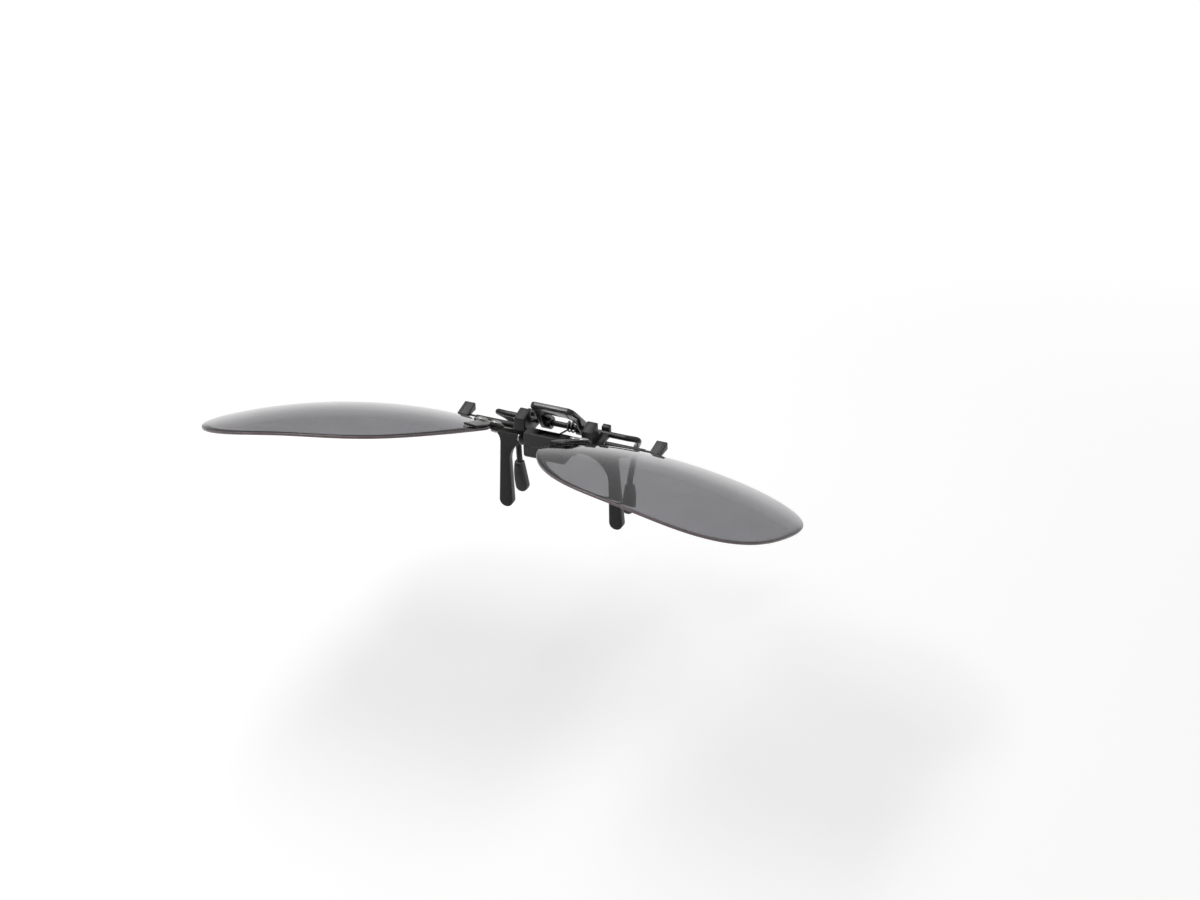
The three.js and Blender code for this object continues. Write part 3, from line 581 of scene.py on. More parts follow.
def drift_group() -> NodeTree:
    """Slow change between two values over the surface, for tone and handling marks."""
    board, given, out = new_group("drift", ("Low", "High"), ("Mask", "Value"))
    spots = {"Vector": given["Vector"], "Scale": given["Scale"]}
    noise = board.add("ShaderNodeTexNoise", {**spots, "Detail": 3.0, "Roughness": 0.55})
    spread = {"Value": noise.outputs["Fac"], "From Min": 0.32, "From Max": 0.68}
    mask = board.add("ShaderNodeMapRange", spread, clamp=True).outputs["Result"]
    limits = {"Value": mask, "To Min": given["Low"], "To Max": given["High"]}
    level = board.add("ShaderNodeMapRange", limits)
    board.feed(out, {"Mask": mask, "Value": level.outputs["Result"]})
    return board.tree


def grain_group() -> NodeTree:
    """Fine moulded or cast grain as a height."""
    board, given, out = new_group("grain", (), ("Height",))
    spots = {"Vector": given["Vector"], "Scale": given["Scale"]}
    fine = board.add("ShaderNodeTexNoise", {**spots, "Detail": 4.0})
    cells = board.add("ShaderNodeTexVoronoi", spots, feature="SMOOTH_F1")
    share = {0: cells.outputs["Distance"], 1: 0.45, 2: fine.outputs["Fac"]}
    height = board.add("ShaderNodeMath", share, operation="MULTIPLY_ADD")
    board.feed(out, {"Height": height.outputs["Value"]})
    return board.tree


def rub_and_sheen_group() -> NodeTree:
    """Where handling has rubbed the raised edges and a painted sheen lightens them, broken up by
    fine noise.
    """
    board, given, out = new_group("rub_and_sheen", ("Reach",), ("Mask",))
    spots = {"Vector": given["Vector"], "Scale": given["Scale"]}
    noise = board.add("ShaderNodeTexNoise", spots)
    # Pointiness finds the raised edges; their lighter colour is partly wear and partly a painted
    # sheen.
    shape = board.add("ShaderNodeNewGeometry")
    uneven = {0: noise.outputs["Fac"], 1: 0.05, 2: shape.outputs["Pointiness"]}
    shift = board.add("ShaderNodeMath", uneven, operation="MULTIPLY_ADD")
    limits = {"Value": shift.outputs["Value"], "From Min": 0.535, "From Max": 0.62}
    raised = board.add("ShaderNodeMapRange", limits, clamp=True)
    reach = {0: raised.outputs["Result"], 1: given["Reach"]}
    mask = board.add("ShaderNodeMath", reach, operation="MULTIPLY", use_clamp=True)
    board.feed(out, {"Mask": mask.outputs["Value"]})
    return board.tree


class Effects:
    """The shader groups that finishes share, built once."""

    def __init__(self) -> None:
        """Builds the groups."""
        self.drift = drift_group()
        self.grain = grain_group()
        self.rub_and_sheen = rub_and_sheen_group()


class Paint:
    """A new material with its board, its surface shader and the piece's own coordinates."""

    def __init__(self, name: str) -> None:
        """Makes the material."""
        self.material = bpy.data.materials.new(name)
        self.material.use_nodes = True
        self.board = Board(self.material.node_tree)
        self.surface = self.board.tree.nodes["Principled BSDF"]
        self.place = self.board.add("ShaderNodeTexCoord").outputs["Object"]

    def pattern(self, tree: NodeTree, size: float, **levels: float) -> Node:
        """Places a shared group.

        Args:
            tree: the group.
            size: the pattern's size in millimetres.
            levels: its other inputs.

        Returns:
            The group's node.
        """
        sockets = {"Vector": self.place, "Scale": 1 / (size * MM), **levels}
        return self.board.add("ShaderNodeGroup", sockets, node_tree=tree)

    def mix(self, mask: NodeSocket, base: NodeSocket | tuple, over: Triple) -> NodeSocket:
        """A colour that a mask changes from a base to another."""
        sockets = {0: mask, 6: base, 7: (*over, 1)}
        return self.board.add("ShaderNodeMix", sockets, data_type="RGBA").outputs[2]

    def tone(
        self, drift: NodeTree, size: float, gloss: Point, first: Triple, second: Triple
    ) -> NodeSocket:
        """Lets the gloss and the colour change slowly over the surface.

        Args:
            drift: the group for slow change.
            size: the pattern's size in millimetres.
            gloss: least and greatest roughness.
            first: the colour where the roughness is least.
            second: the colour where it is greatest.

        Returns:
            The socket of the colour.
        """
        slow = self.pattern(drift, size, Low=gloss[0], High=gloss[1])
        self.board.feed(self.surface, {"Roughness": slow.outputs["Value"]})
        return self.mix(slow.outputs["Mask"], (*first, 1), second)


@dataclass(frozen=True)
class Finish:
    """A surface finish: two tones, a range of gloss, grain, and raised edges lightened partly by
    rubbing and partly by a painted sheen.

    Sizes are in millimetres.
    """

    name: str
    dark: Triple
    light: Triple
    # Colour of the raised edges: partly rubbed wear, partly a painted sheen.
    rub_and_sheen_tone: Triple
    gloss: Point
    metallic: float = 0.0
    specular: float = 0.5
    grain_size: float = 0.12
    grain_depth: float = 0.1
    drift_size: float = 4.0
    rub_and_sheen_size: float = 1.0
    rub_and_sheen_reach: float = 0.5

    def build(self, effects: Effects) -> Material:
        """Makes the material.

        Args:
            effects: the shared shader groups.

        Returns:
            The material.
        """
        paint = Paint(self.name)
        tone = paint.tone(effects.drift, self.drift_size, self.gloss, self.dark, self.light)
        # Mask of the raised edges, which get a lighter colour: partly wear, partly a painted sheen.
        rub_and_sheen = paint.pattern(effects.rub_and_sheen, self.rub_and_sheen_size, Reach=self.rub_and_sheen_reach)
        grain = paint.pattern(effects.grain, self.grain_size)
        relief = {
            "Strength": self.grain_depth,
            "Distance": self.grain_size * MM,
            "Height": grain.outputs["Height"],
        }
        bump = paint.board.add("ShaderNodeBump", relief)
        looks = {
            "Metallic": self.metallic,
            "Specular IOR Level": self.specular,
            "Base Color": paint.mix(rub_and_sheen.outputs["Mask"], tone, self.rub_and_sheen_tone),
            "Normal": bump.outputs["Normal"],
        }
        paint.board.feed(paint.surface, looks)
        return paint.material


@dataclass(frozen=True)
class LensFinish:
    """A tinted see-through lens with faint handling marks."""

    name: str
    tint: Triple
    deep_tint: Triple
    gloss: Point = (0.0, 0.012)
    index: float = 1.32
    mark_size: float = 14.0

    def build(self, effects: Effects) -> Material:
        """Makes the material.

        Args:
            effects: the shared shader groups.

        Returns:
            The material.
        """
        paint = Paint(self.name)
        tone = paint.tone(effects.drift, self.mark_size, self.gloss, self.tint, self.deep_tint)
        looks = {"Transmission Weight": 1.0, "IOR": self.index, "Base Color": tone}
        paint.board.feed(paint.surface, looks)
        return paint.material


# The edge tone of each finish below lightens raised edges: partly rubbed wear, partly a painted
# sheen.
SATIN_BLACK = Finish(
    "satin_black",
    dark=(0.0075, 0.0068, 0.0068),
    light=(0.011, 0.0102, 0.0102),
    rub_and_sheen_tone=(0.05, 0.048, 0.047),
    gloss=(0.26, 0.38),
    specular=0.25,
    grain_depth=0.05,
)
BLACK_COAT = Finish(
    "black_coat",
    dark=(0.007, 0.0068, 0.0068),
    light=(0.011, 0.0105, 0.0105),
    rub_and_sheen_tone=(0.06, 0.058, 0.056),
    gloss=(0.2, 0.3),
    specular=0.32,
    grain_size=0.08,
    grain_depth=0.015,
)
GRIP_RUBBER = Finish(
    "grip_rubber",
    dark=(0.013, 0.0132, 0.013),
    light=(0.02, 0.0202, 0.02),
    rub_and_sheen_tone=(0.05, 0.05, 0.05),
    gloss=(0.34, 0.46),
    specular=0.4,
    grain_size=0.1,
)
GLOSS_BLACK = Finish(
    "gloss_black",
    dark=(0.005, 0.005, 0.005),
    light=(0.008, 0.008, 0.008),
    rub_and_sheen_tone=(0.02, 0.02, 0.02),
    gloss=(0.14, 0.22),
    grain_size=0.3,
    grain_depth=0.02,
)
BRIGHT_STEEL = Finish(
    "bright_steel",
    dark=(0.3, 0.295, 0.29),
    light=(0.42, 0.415, 0.41),
    rub_and_sheen_tone=(0.6, 0.6, 0.59),
    gloss=(0.2, 0.32),
    metallic=1.0,
    grain_size=0.06,
    grain_depth=0.05,
)
SPRING_STEEL = Finish(
    "spring_steel",
    dark=(0.06, 0.06, 0.06),
    light=(0.11, 0.11, 0.11),
    rub_and_sheen_tone=(0.22, 0.22, 0.22),
    gloss=(0.25, 0.38),
    metallic=1.0,
    grain_size=0.05,
    grain_depth=0.06,
)
LENS_EDGE = Finish(
    "lens_edge",
    dark=(0.115, 0.085, 0.09),
    light=(0.155, 0.12, 0.126),
    rub_and_sheen_tone=(0.18, 0.145, 0.15),
    gloss=(0.2, 0.32),
    grain_size=0.05,
    grain_depth=0.04,
)
GREY_LENS = LensFinish("grey_lens", (0.208, 0.203, 0.216), (0.186, 0.182, 0.195))
BLACKS = (SATIN_BLACK, BLACK_COAT, GRIP_RUBBER, GLOSS_BLACK)
FINISHES = (*BLACKS, BRIGHT_STEEL, SPRING_STEEL, LENS_EDGE, GREY_LENS)


class Bench:
    """Turns shapes into finished pieces that ride on their bodies."""

    def __init__(self) -> None:
        """Builds every material once."""
        effects = Effects()
        self.materials = {finish.name: finish.build(effects) for finish in FINISHES}

    def paint(self, mesh: bpy.types.Mesh, *finishes: Finish | LensFinish) -> None:
        """Gives a mesh some finishes, in the order of its faces' material numbers.

        Clearing sets those numbers back to nought, so a mesh without materials isn't cleared.

        Args:
            mesh: the mesh.
            finishes: what it gets.
        """
        if mesh.materials:
            mesh.materials.clear()
        for finish in finishes:
            mesh.materials.append(self.materials[finish.name])

    def piece(
        self, form: BMesh, node: str, slot: Slot, body: Body | None, *finishes: Finish | LensFinish
    ) -> bpy.types.Object:
        """Makes a piece that stands for a solid.

        Args:
            form: its shape in millimetres, which is freed.
            node: the solid that it stands for.
            slot: its material slot, which is not used.
            body: what it rides on, or nothing.
            finishes: its finishes.

        Returns:
            The piece.
        """
        bmesh.ops.scale(form, vec=Vector((1, 1, 1)) * MM, verts=form.verts[:])
        made = loose_object(form, f"{node}_piece")
        made.data.polygons.foreach_set("use_smooth", [True] * len(made.data.polygons))
        made.data.set_sharp_from_angle(angle=math.radians(CREASE))
        self.paint(made.data, *finishes)
        if body is not None:
            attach(made, body.value)
        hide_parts(node)
        LOG.info("%s: %d faces", made.name, len(made.data.polygons))
        return made

    def pair(
        self,
        shape: Callable[[], BMesh],
        node: str,
        slot: Slot,
        body: Body,
        *finishes: Finish | LensFinish,
    ) -> None:
        """Makes the right piece of a shape and its mirror image.

        Args:
            shape: builds the right piece's shape.
            node: the solids' name after their side.
            slot: their material slot.
            body: what both ride on.
            finishes: their finishes.
        """
        for side in Side:
            form = mirrored(shape()) if side is Side.LEFT else shape()
            self.piece(form, f"{side.value}_{node}", slot, body, *finishes)

    def finish_solid(self, node: str, finish: Finish) -> None:
        """Gives a solid that stays in view its finish."""
        self.paint(frame["nodes"][node].data, finish)
        LOG.info("%s: solid kept", node)


# Sub-assemblies


@dataclass
class SharedSizes:
    """Sizes that more than one sub-assembly takes.

    In each sub-assembly a field that ends in trims is how many times the trim goes into its size.
    """

    fit_gap: float = 0.15
    bar_radius: float = 0.7
    jaw_thick: float = 2.0
    jaw_top: float = -0.1
    leg_drop: float = 21.7


@dataclass
class FrontClamp(SharedSizes):
    """The front jaw, its ear blocks and the rim hooks on their strips."""

    jaw_bridge: float = 2.6
    jaw_edge: float = 0.35
    wing_reach: float = 17.7
    wing_depth: float = 1.2
    wing_fillet: float = 3.0
    leg_spread: float = 14.1
    leg_end_width: float = 3.4
    leg_waist: float = 2.2
    arch_half: float = 12.65
    arch_corner: float = 6.5
    ear_inner: float = 7.2
    ear_width: float = 4.2
    ear_wall: float = 2.7
    ear_top: float = 5.3
    ear_slope: float = 0.9
    ear_front: float = 1.9
    ear_rear: float = 0.3
    ear_foot: float = 1.3
    ear_lip: float = 0.5
    ear_floor: float = 1.05
    ear_shoulder: float = 0.45
    ear_cheek: float = 0.8
    ear_back_width: float = 2.0
    ear_back_wall: float = 1.3
    ear_back_rise: float = 1.4
    ear_back_inset: float = 0.8
    ear_edge: float = 0.2
    strip_front: float = -0.9
    strip_width: float = 1.0
    strip_height: float = 0.6
    strip_edge: float = 0.16
    tongue_bare: float = 1.5
    tongue_width: float = 0.7
    tongue_thick: float = 0.3
    tongue_rise: float = 0.35
    tongue_trims: float = 3.0
    hook_spread: float = 24.5
    hook_width: float = 2.8
    hook_depth: float = 4.4
    hook_front: float = -1.55
    hook_height: float = 1.05
    hook_rise: float = 0.9
    hook_toe: float = 0.45
    hook_wall: float = 0.5
    hook_edge: float = 0.28
    seam_inset: float = 0.65
    seam_width: float = 0.14
    seam_depth: float = 0.16

    def jaw(self) -> BMesh:
        """The plate with its arch, wings and legs."""
        end = self.leg_end_width / 2
        end_z = end - self.leg_drop
        outer = self.arch_half + self.leg_waist
        wing = self.wing_depth / 2
        wing_z = self.jaw_top - wing
        under = self.jaw_top - self.wing_depth
        corner_z = self.jaw_top - self.jaw_bridge - self.arch_corner
        corner_x = self.arch_half - self.arch_corner
        outline = Outline((-self.wing_reach, self.jaw_top))
        outline.arc((self.wing_reach, wing_z), wing, 90, -90)
        outline.curve((outer, under), (outer, under - self.wing_fillet))
        outline.arc((self.leg_spread, end_z), end, 0, -180)
        outline.arc((corner_x, corner_z), self.arch_corner, 0, 90)
        outline.arc((-corner_x, corner_z), self.arch_corner, 90, 180)
        outline.arc((-self.leg_spread, end_z), end, 0, -180)
        outline.line((-outer, under - self.wing_fillet))
        outline.curve((-outer, under), (-self.wing_reach, under))
        outline.arc((-self.wing_reach, wing_z), wing, -90, -270)
        return prism(outline, Run.ALONG_Y, -self.jaw_thick, 0, self.jaw_edge, FINE_STRIPS)

    def ear(self) -> BMesh:
        """The right ear block: a tall wall, a wall behind the bar and the strip's shoulder."""
        seat = self.jaw_top + self.fit_gap
        floor = seat - self.ear_floor
        groove = self.bar_radius + self.fit_gap
        cheek_back = BAR_AXIS.y - self.bar_radius
        cheek_top = BAR_AXIS.z + self.ear_cheek
        slot = -self.jaw_thick - self.fit_gap
        front = -self.jaw_thick - self.ear_front
        tall = Outline(
            (front, self.ear_foot),
            (front, self.ear_top - self.ear_slope),
            (-self.ear_rear, self.ear_top),
            (-self.ear_rear, cheek_top + self.ear_cheek),
            (cheek_back, cheek_top),
            (cheek_back, floor),
            (self.fit_gap, floor),
            (self.fit_gap, seat),
            (slot, seat),
            (slot, seat - self.ear_lip),
        )
        saddle = BAR_AXIS.z - self.bar_radius
        near, far = BAR_AXIS.y + groove, BAR_AXIS.y + groove + self.ear_back_wall
        crest = BAR_AXIS.z + self.ear_back_rise
        behind = Outline((self.fit_gap, floor), (far, floor), (far, crest))
        behind.line((near, crest - self.ear_edge), (near, saddle), (self.fit_gap, saddle))
        inner, outer = self.ear_inner, self.ear_inner + self.ear_width
        tall_outer, back_outer = inner + self.ear_wall, outer - self.ear_back_inset
        back_inner = back_outer - self.ear_back_width
        inset = self.ear_edge / 2
        rounded = (self.ear_edge, STRIPS, Rounding.ALL)
        body = combine(
            prism(tall, Run.ALONG_X, inner, tall_outer, *rounded),
            Join.ADD,
            prism(behind, Run.ALONG_X, back_inner, back_outer, *rounded),
            box(
                (inner + inset, back_outer - self.ear_back_width / 2),
                (self.fit_gap + inset, far - inset),
                (floor + inset, saddle - inset),
            ),
            box(
                (tall_outer - self.ear_wall / 2, outer - inset),
                (inset - self.jaw_thick, cheek_back - inset),
                (seat + inset / 2, seat + self.strip_height + self.ear_shoulder),
                inset,
            ),
        )
        ends = (inner - self.ear_wall, outer + self.ear_wall)
        return combine(body, Join.CUT, round_bar(groove, *ends, BAR_AXIS))

    def tongue(self, start: float, spare: float) -> BMesh:
        """The strip's thin end, or with spare room the pocket that takes it.

        Args:
            start: where it starts.
            spare: room on every side.

        Returns:
            The closed shape.
        """
        end = self.hook_spread + self.hook_width / 2 - self.hook_wall + spare
        width = (self.strip_front - spare, self.strip_front + self.tongue_width + spare)
        height = (self.tongue_rise - spare, self.tongue_rise + self.tongue_thick + spare)
        return box((start, end), width, height)

    def strip(self) -> BMesh:
        """The right strip, whose thin end goes into the hook."""
        root = self.ear_inner + self.ear_width + self.fit_gap
        end = self.hook_spread - self.hook_width / 2 - self.tongue_bare
        seat = self.jaw_top + self.fit_gap
        width = (self.strip_front, self.strip_front + self.strip_width)
        bar = box((root, end), width, (seat, seat + self.strip_height), self.strip_edge)
        tongue = self.tongue(end - self.strip_edge, -self.strip_edge / self.tongue_trims)
        return combine(bar, Join.ADD, tongue)

    def hook(self) -> BMesh:
        """The right rubber cap, rounded all over, with a seam and the tongue's pocket."""
        front, back = self.hook_front, self.hook_front + self.hook_depth
        top = self.hook_height + self.hook_rise
        half = self.hook_width / 2
        low, high = self.hook_spread - half, self.hook_spread + half
        outline = Outline((front, self.hook_toe), (front + self.hook_toe, 0), (back, 0))
        outline.line((back, top), (front, self.hook_height))
        rounded = (self.hook_edge, FINE_STRIPS, Rounding.ALL)
        cut = Outline((front, self.hook_height - self.seam_depth), (back, top - self.seam_depth))
        cut.line((back, top + self.hook_height), (front, top + self.hook_height))
        seam = high - self.seam_inset
        return combine(
            prism(outline, Run.ALONG_X, low, high, *rounded),
            Join.CUT,
            self.tongue(low - self.hook_wall, self.fit_gap),
            prism(cut, Run.ALONG_X, seam - self.seam_width, seam),
        )

    def dress(self, bench: Bench) -> None:
        """Builds and finishes the pieces."""
        clip = Body.CLIP
        bench.piece(self.jaw(), "front_jaw", Slot.SATIN_BLACK, clip, SATIN_BLACK)
        bench.pair(self.ear, "ear_block", Slot.SATIN_BLACK, clip, SATIN_BLACK)
        bench.pair(self.strip, "hook_arm", Slot.BLACK_WIRE, clip, BLACK_COAT)
        bench.pair(self.hook, "rim_hook", Slot.GRIP_RUBBER, clip, GRIP_RUBBER)


@dataclass
class RearJaw(SharedSizes):
    """The bent wire with its pads, the thumb lever and the torsion spring.

    Each of the wire's stations (bend to belly) is how far it lies inside the flare, how far behind
    the bar and what share of the way down to the neck. Neck and toe are places behind the bar.
    The ends of wire and bead are shares of a radius and the bore's lead is a share of the pad.
    """

    bar_half: float = 15.6
    bar_inner: float = 7.2
    flare: float = 2.15
    bend: Triple = (0.0, 0.6, 0.026)
    shoulder: Triple = (0.9, 3.0, 0.2)
    elbow: Triple = (1.9, 4.0, 0.335)
    belly: Triple = (2.85, 4.2, 0.64)
    neck: Triple = (14.25, 3.45, -13.1)
    toe: Triple = (13.7, 3.1, -20.3)
    wire_end: float = 0.4
    pad_height: float = 7.9
    pad_width: float = 3.1
    pad_neck: float = 1.9
    pad_thick: float = 2.4
    pad_edge: float = 0.7
    bore_lead: float = 0.3
    bore_round: float = 0.1
    lever_lean: float = 44.0
    lever_length: float = 11.3
    lever_plate: float = 5.3
    lever_crank: float = 0.9
    lever_thick: float = 1.3
    lever_half: float = 5.7
    lever_shift: float = 0.2
    lever_corner: float = 1.6
    lever_edge: float = 0.4
    lever_bead: float = 0.68
    bead_end: float = 0.8
    web_thick: float = 1.1
    web_front: float = 1.0
    web_knee: float = 3.2
    web_edge: float = 0.25
    hub_inner: float = 3.2
    hub_length: float = 2.5
    hub_wall: float = 0.85
    hub_edge: float = 0.2
    spring_wire: float = 0.45
    spring_trims: float = 8.0
    spring_pitch: float = 0.92
    spring_turns: int = 2
    spring_play: float = 0.2
    spring_foot: float = 3.4
    spring_tail: float = 0.8
    spring_bend: float = 0.5
    spring_end: float = 1.2
    spring_follows: float = 1.5

    def __post_init__(self) -> None:
        """Works out what several pieces take."""
        behind = Vector((0, BAR_AXIS.y, 0))
        self.neck_at = Vector(self.neck) + behind
        self.toe_at = Vector(self.toe) + behind
        self.lever_front = self.lever_crank - self.lever_thick / 2
        self.coil_radius = self.bar_radius + self.spring_play + self.spring_wire / 2
        self.spring_stop = self.hub_inner - self.lever_shift - 2 * self.fit_gap

    def station(self, inset: float, back: float, share: float) -> Vector:
        """One of the wire's stations, on the right."""
        drop = (self.neck_at.z - BAR_AXIS.z) * share
        return Vector((self.bar_half + self.flare - inset, BAR_AXIS.y + back, BAR_AXIS.z + drop))

    def wire(self) -> BMesh:
        """The bent wire, from the left pad to the right one."""
        straight = (self.bar_inner, self.bar_half - self.flare, self.bar_half)
        stations = (self.bend, self.shoulder, self.elbow, self.belly)
        right = [
            *(Vector((x, BAR_AXIS.y, BAR_AXIS.z)) for x in straight),
            *(self.station(*place) for place in stations),
            self.neck_at.lerp(self.toe_at, -self.bar_radius / self.pad_height),
            self.neck_at,
            self.toe_at,
        ]
        left = [Vector((-p.x, p.y, p.z)) for p in reversed(right)]
        line = smooth_path([*left, *right], PATH_STEPS)
        return sweep(line, self.bar_radius, WIRE_SIDES, self.bar_radius * self.wire_end)

    def pad(self) -> BMesh:
        """The right rubber pad, moulded on the wire's end."""
        radius = self.pad_width / 2
        low = radius - self.leg_drop
        top = self.pad_height - self.leg_drop
        neck_x, neck_y, _ = self.neck
        toe_x, toe_y, _ = self.toe
        waist = (top + low) / 2
        outline = Outline((neck_x + self.pad_neck / 2, top))
        outline.curve((neck_x + radius, waist), (toe_x + radius, low))
        outline.arc((toe_x, low), radius, 0, -180)
        outline.curve((neck_x - radius, waist), (neck_x - self.pad_neck / 2, top))
        middle = BAR_AXIS.y + (neck_y + toe_y) / 2
        half = self.pad_thick / 2
        span = (middle - half, middle + half)
        body = prism(outline, Run.ALONG_Y, *span, self.pad_edge, FINEST_STRIPS)
        neck, toe = self.neck_at, self.toe_at
        bore = [neck.lerp(toe, -self.bore_lead), toe.lerp(neck, -self.fit_gap / self.pad_height)]
        room = self.bar_radius + self.fit_gap / 2
        return combine(body, Join.CUT, sweep(bore, room, WIRE_SIDES, self.bore_round))

    def stirrup(self) -> BMesh:
        """The lever's plate with its two arms and the window between them, standing on the bar."""
        half, top, corner = self.lever_half, self.lever_length, self.lever_corner
        foot = top - self.lever_plate
        root = self.bar_radius + self.fit_gap
        inner = self.hub_inner
        outline = Outline((half, root), (half, foot + corner))
        outline.curve((half, top), (half - corner, top))
        outline.line((corner - half, top))
        outline.curve((-half, top), (-half, foot + corner))
        outline.line((-half, root), (-inner, root), (-inner, foot - corner))
        outline.curve((-inner, foot), (corner - inner, foot))
        outline.line((inner - corner, foot))
        outline.curve((inner, foot), (inner, foot - corner))
        outline.line((inner, root))
        span = (self.lever_front, self.lever_front + self.lever_thick)
        return prism(outline, Run.ALONG_Y, *span, self.lever_edge, FINEST_STRIPS)

    def lever(self) -> BMesh:
        """The thumb lever: a stirrup with a rounded top edge and side webs on two hubs."""
        top = self.lever_length - self.lever_bead
        bead_half = self.lever_half - self.lever_corner / 2
        bead_at = Vector((0, self.lever_front + self.lever_bead, top))
        bead_round = self.lever_bead * self.bead_end
        bead = round_bar(self.lever_bead, -bead_half, bead_half, bead_at, edge=bead_round)
        hub, length = self.bar_radius + self.hub_wall, self.hub_length
        inner, outer = self.hub_inner, self.hub_inner + length
        knee = self.web_knee
        shoulder = self.lever_length - self.lever_plate + self.lever_corner
        side = Outline((-hub, 0), (-self.web_front, knee), (self.lever_crank, shoulder))
        side.line((self.lever_crank, knee), (hub, 0))
        thick, edge = self.web_thick, self.web_edge
        webs = [prism(side, Run.ALONG_X, x, x + thick, edge) for x in (outer - thick, -outer)]
        hubs = [round_bar(hub, x, x + length, ORIGIN, edge=self.hub_edge) for x in (inner, -outer)]
        hole = self.spring_wire / 2 + self.fit_gap
        hole_at = Vector((0, self.coil_radius, self.spring_tail + self.spring_bend))
        form = combine(
            combine(self.stirrup(), Join.ADD, bead, *webs, *hubs),
            Join.CUT,
            round_bar(self.bar_radius + self.fit_gap, -2 * outer, 2 * outer, ORIGIN),
            round_bar(hole, 0, inner + self.spring_end, hole_at, WIRE_SIDES),
        )
        lean = Matrix.Rotation(math.radians(self.lever_lean), 4, "X")
        return moved(form, Matrix.Translation(BAR_AXIS - Vector((self.lever_shift, 0, 0))) @ lean)

    def spring_line(self) -> list[Vector]:
        """The spring's middle line: foot on the jaw, coil round the bar and end in the lever."""
        lean = math.radians(self.lever_lean)
        drop = BAR_AXIS.z - self.jaw_top - self.fit_gap - self.spring_wire / 2
        away = math.hypot(BAR_AXIS.y, drop)
        start = math.atan2(drop, BAR_AXIS.y) - math.asin(self.coil_radius / away)
        turn = 2 * math.pi * self.spring_turns + math.pi / 2 + lean - start
        advance = self.spring_pitch * turn / (2 * math.pi)
        end_x = self.spring_stop - self.spring_wire / 2
        steps = COIL_STEPS * (self.spring_turns + 1)
        coil = []
        for share in (step / steps for step in range(steps + 1)):
            angle = start + turn * share
            reach = Vector((0, math.sin(angle), -math.cos(angle))) * self.coil_radius
            middle = Vector((end_x - advance * (1 - share), BAR_AXIS.y, BAR_AXIS.z))
            coil.append(middle + reach)
        foot = coil[0] - Vector((0, math.cos(start), math.sin(start))) * self.spring_foot
        up, aside = Vector((0, -math.sin(lean), math.cos(lean))), Vector((1, 0, 0))
        root = coil[-1] + up * self.spring_tail
        bend = [
            root + (up * math.sin(angle) + aside * (1 - math.cos(angle))) * self.spring_bend
            for angle in (math.pi / 2 * step / BEND_STEPS for step in range(BEND_STEPS + 1))
        ]
        tip = bend[-1] + aside * self.spring_end
        return [foot, foot.lerp(coil[0], 0.5), *coil, *bend, tip]

    def spring(self, bench: Bench) -> None:
        """The torsion spring, made as a piece that rides on no body, with its place baked into its
        mesh.
        """
        line = self.spring_line()
        wire = self.spring_wire
        form = sweep(line, wire / 2, SPRING_SIDES, wire / self.spring_trims)
        steel = Slot.SPRING_STEEL
        piece = bench.piece(form, "right_torsion_spring", steel, None, SPRING_STEEL)
        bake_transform(piece)

    def dress(self, bench: Bench) -> None:
        """Builds and finishes the pieces."""
        jaw = Body.REAR_JAW
        bench.piece(self.wire(), "rear_jaw_wire", Slot.BLACK_WIRE, jaw, BLACK_COAT)
        bench.pair(self.pad, "rear_pad", Slot.GRIP_RUBBER, jaw, GRIP_RUBBER)
        bench.piece(self.lever(), "thumb_lever", Slot.GLOSS_BLACK, jaw, GLOSS_BLACK)
        self.spring(bench)


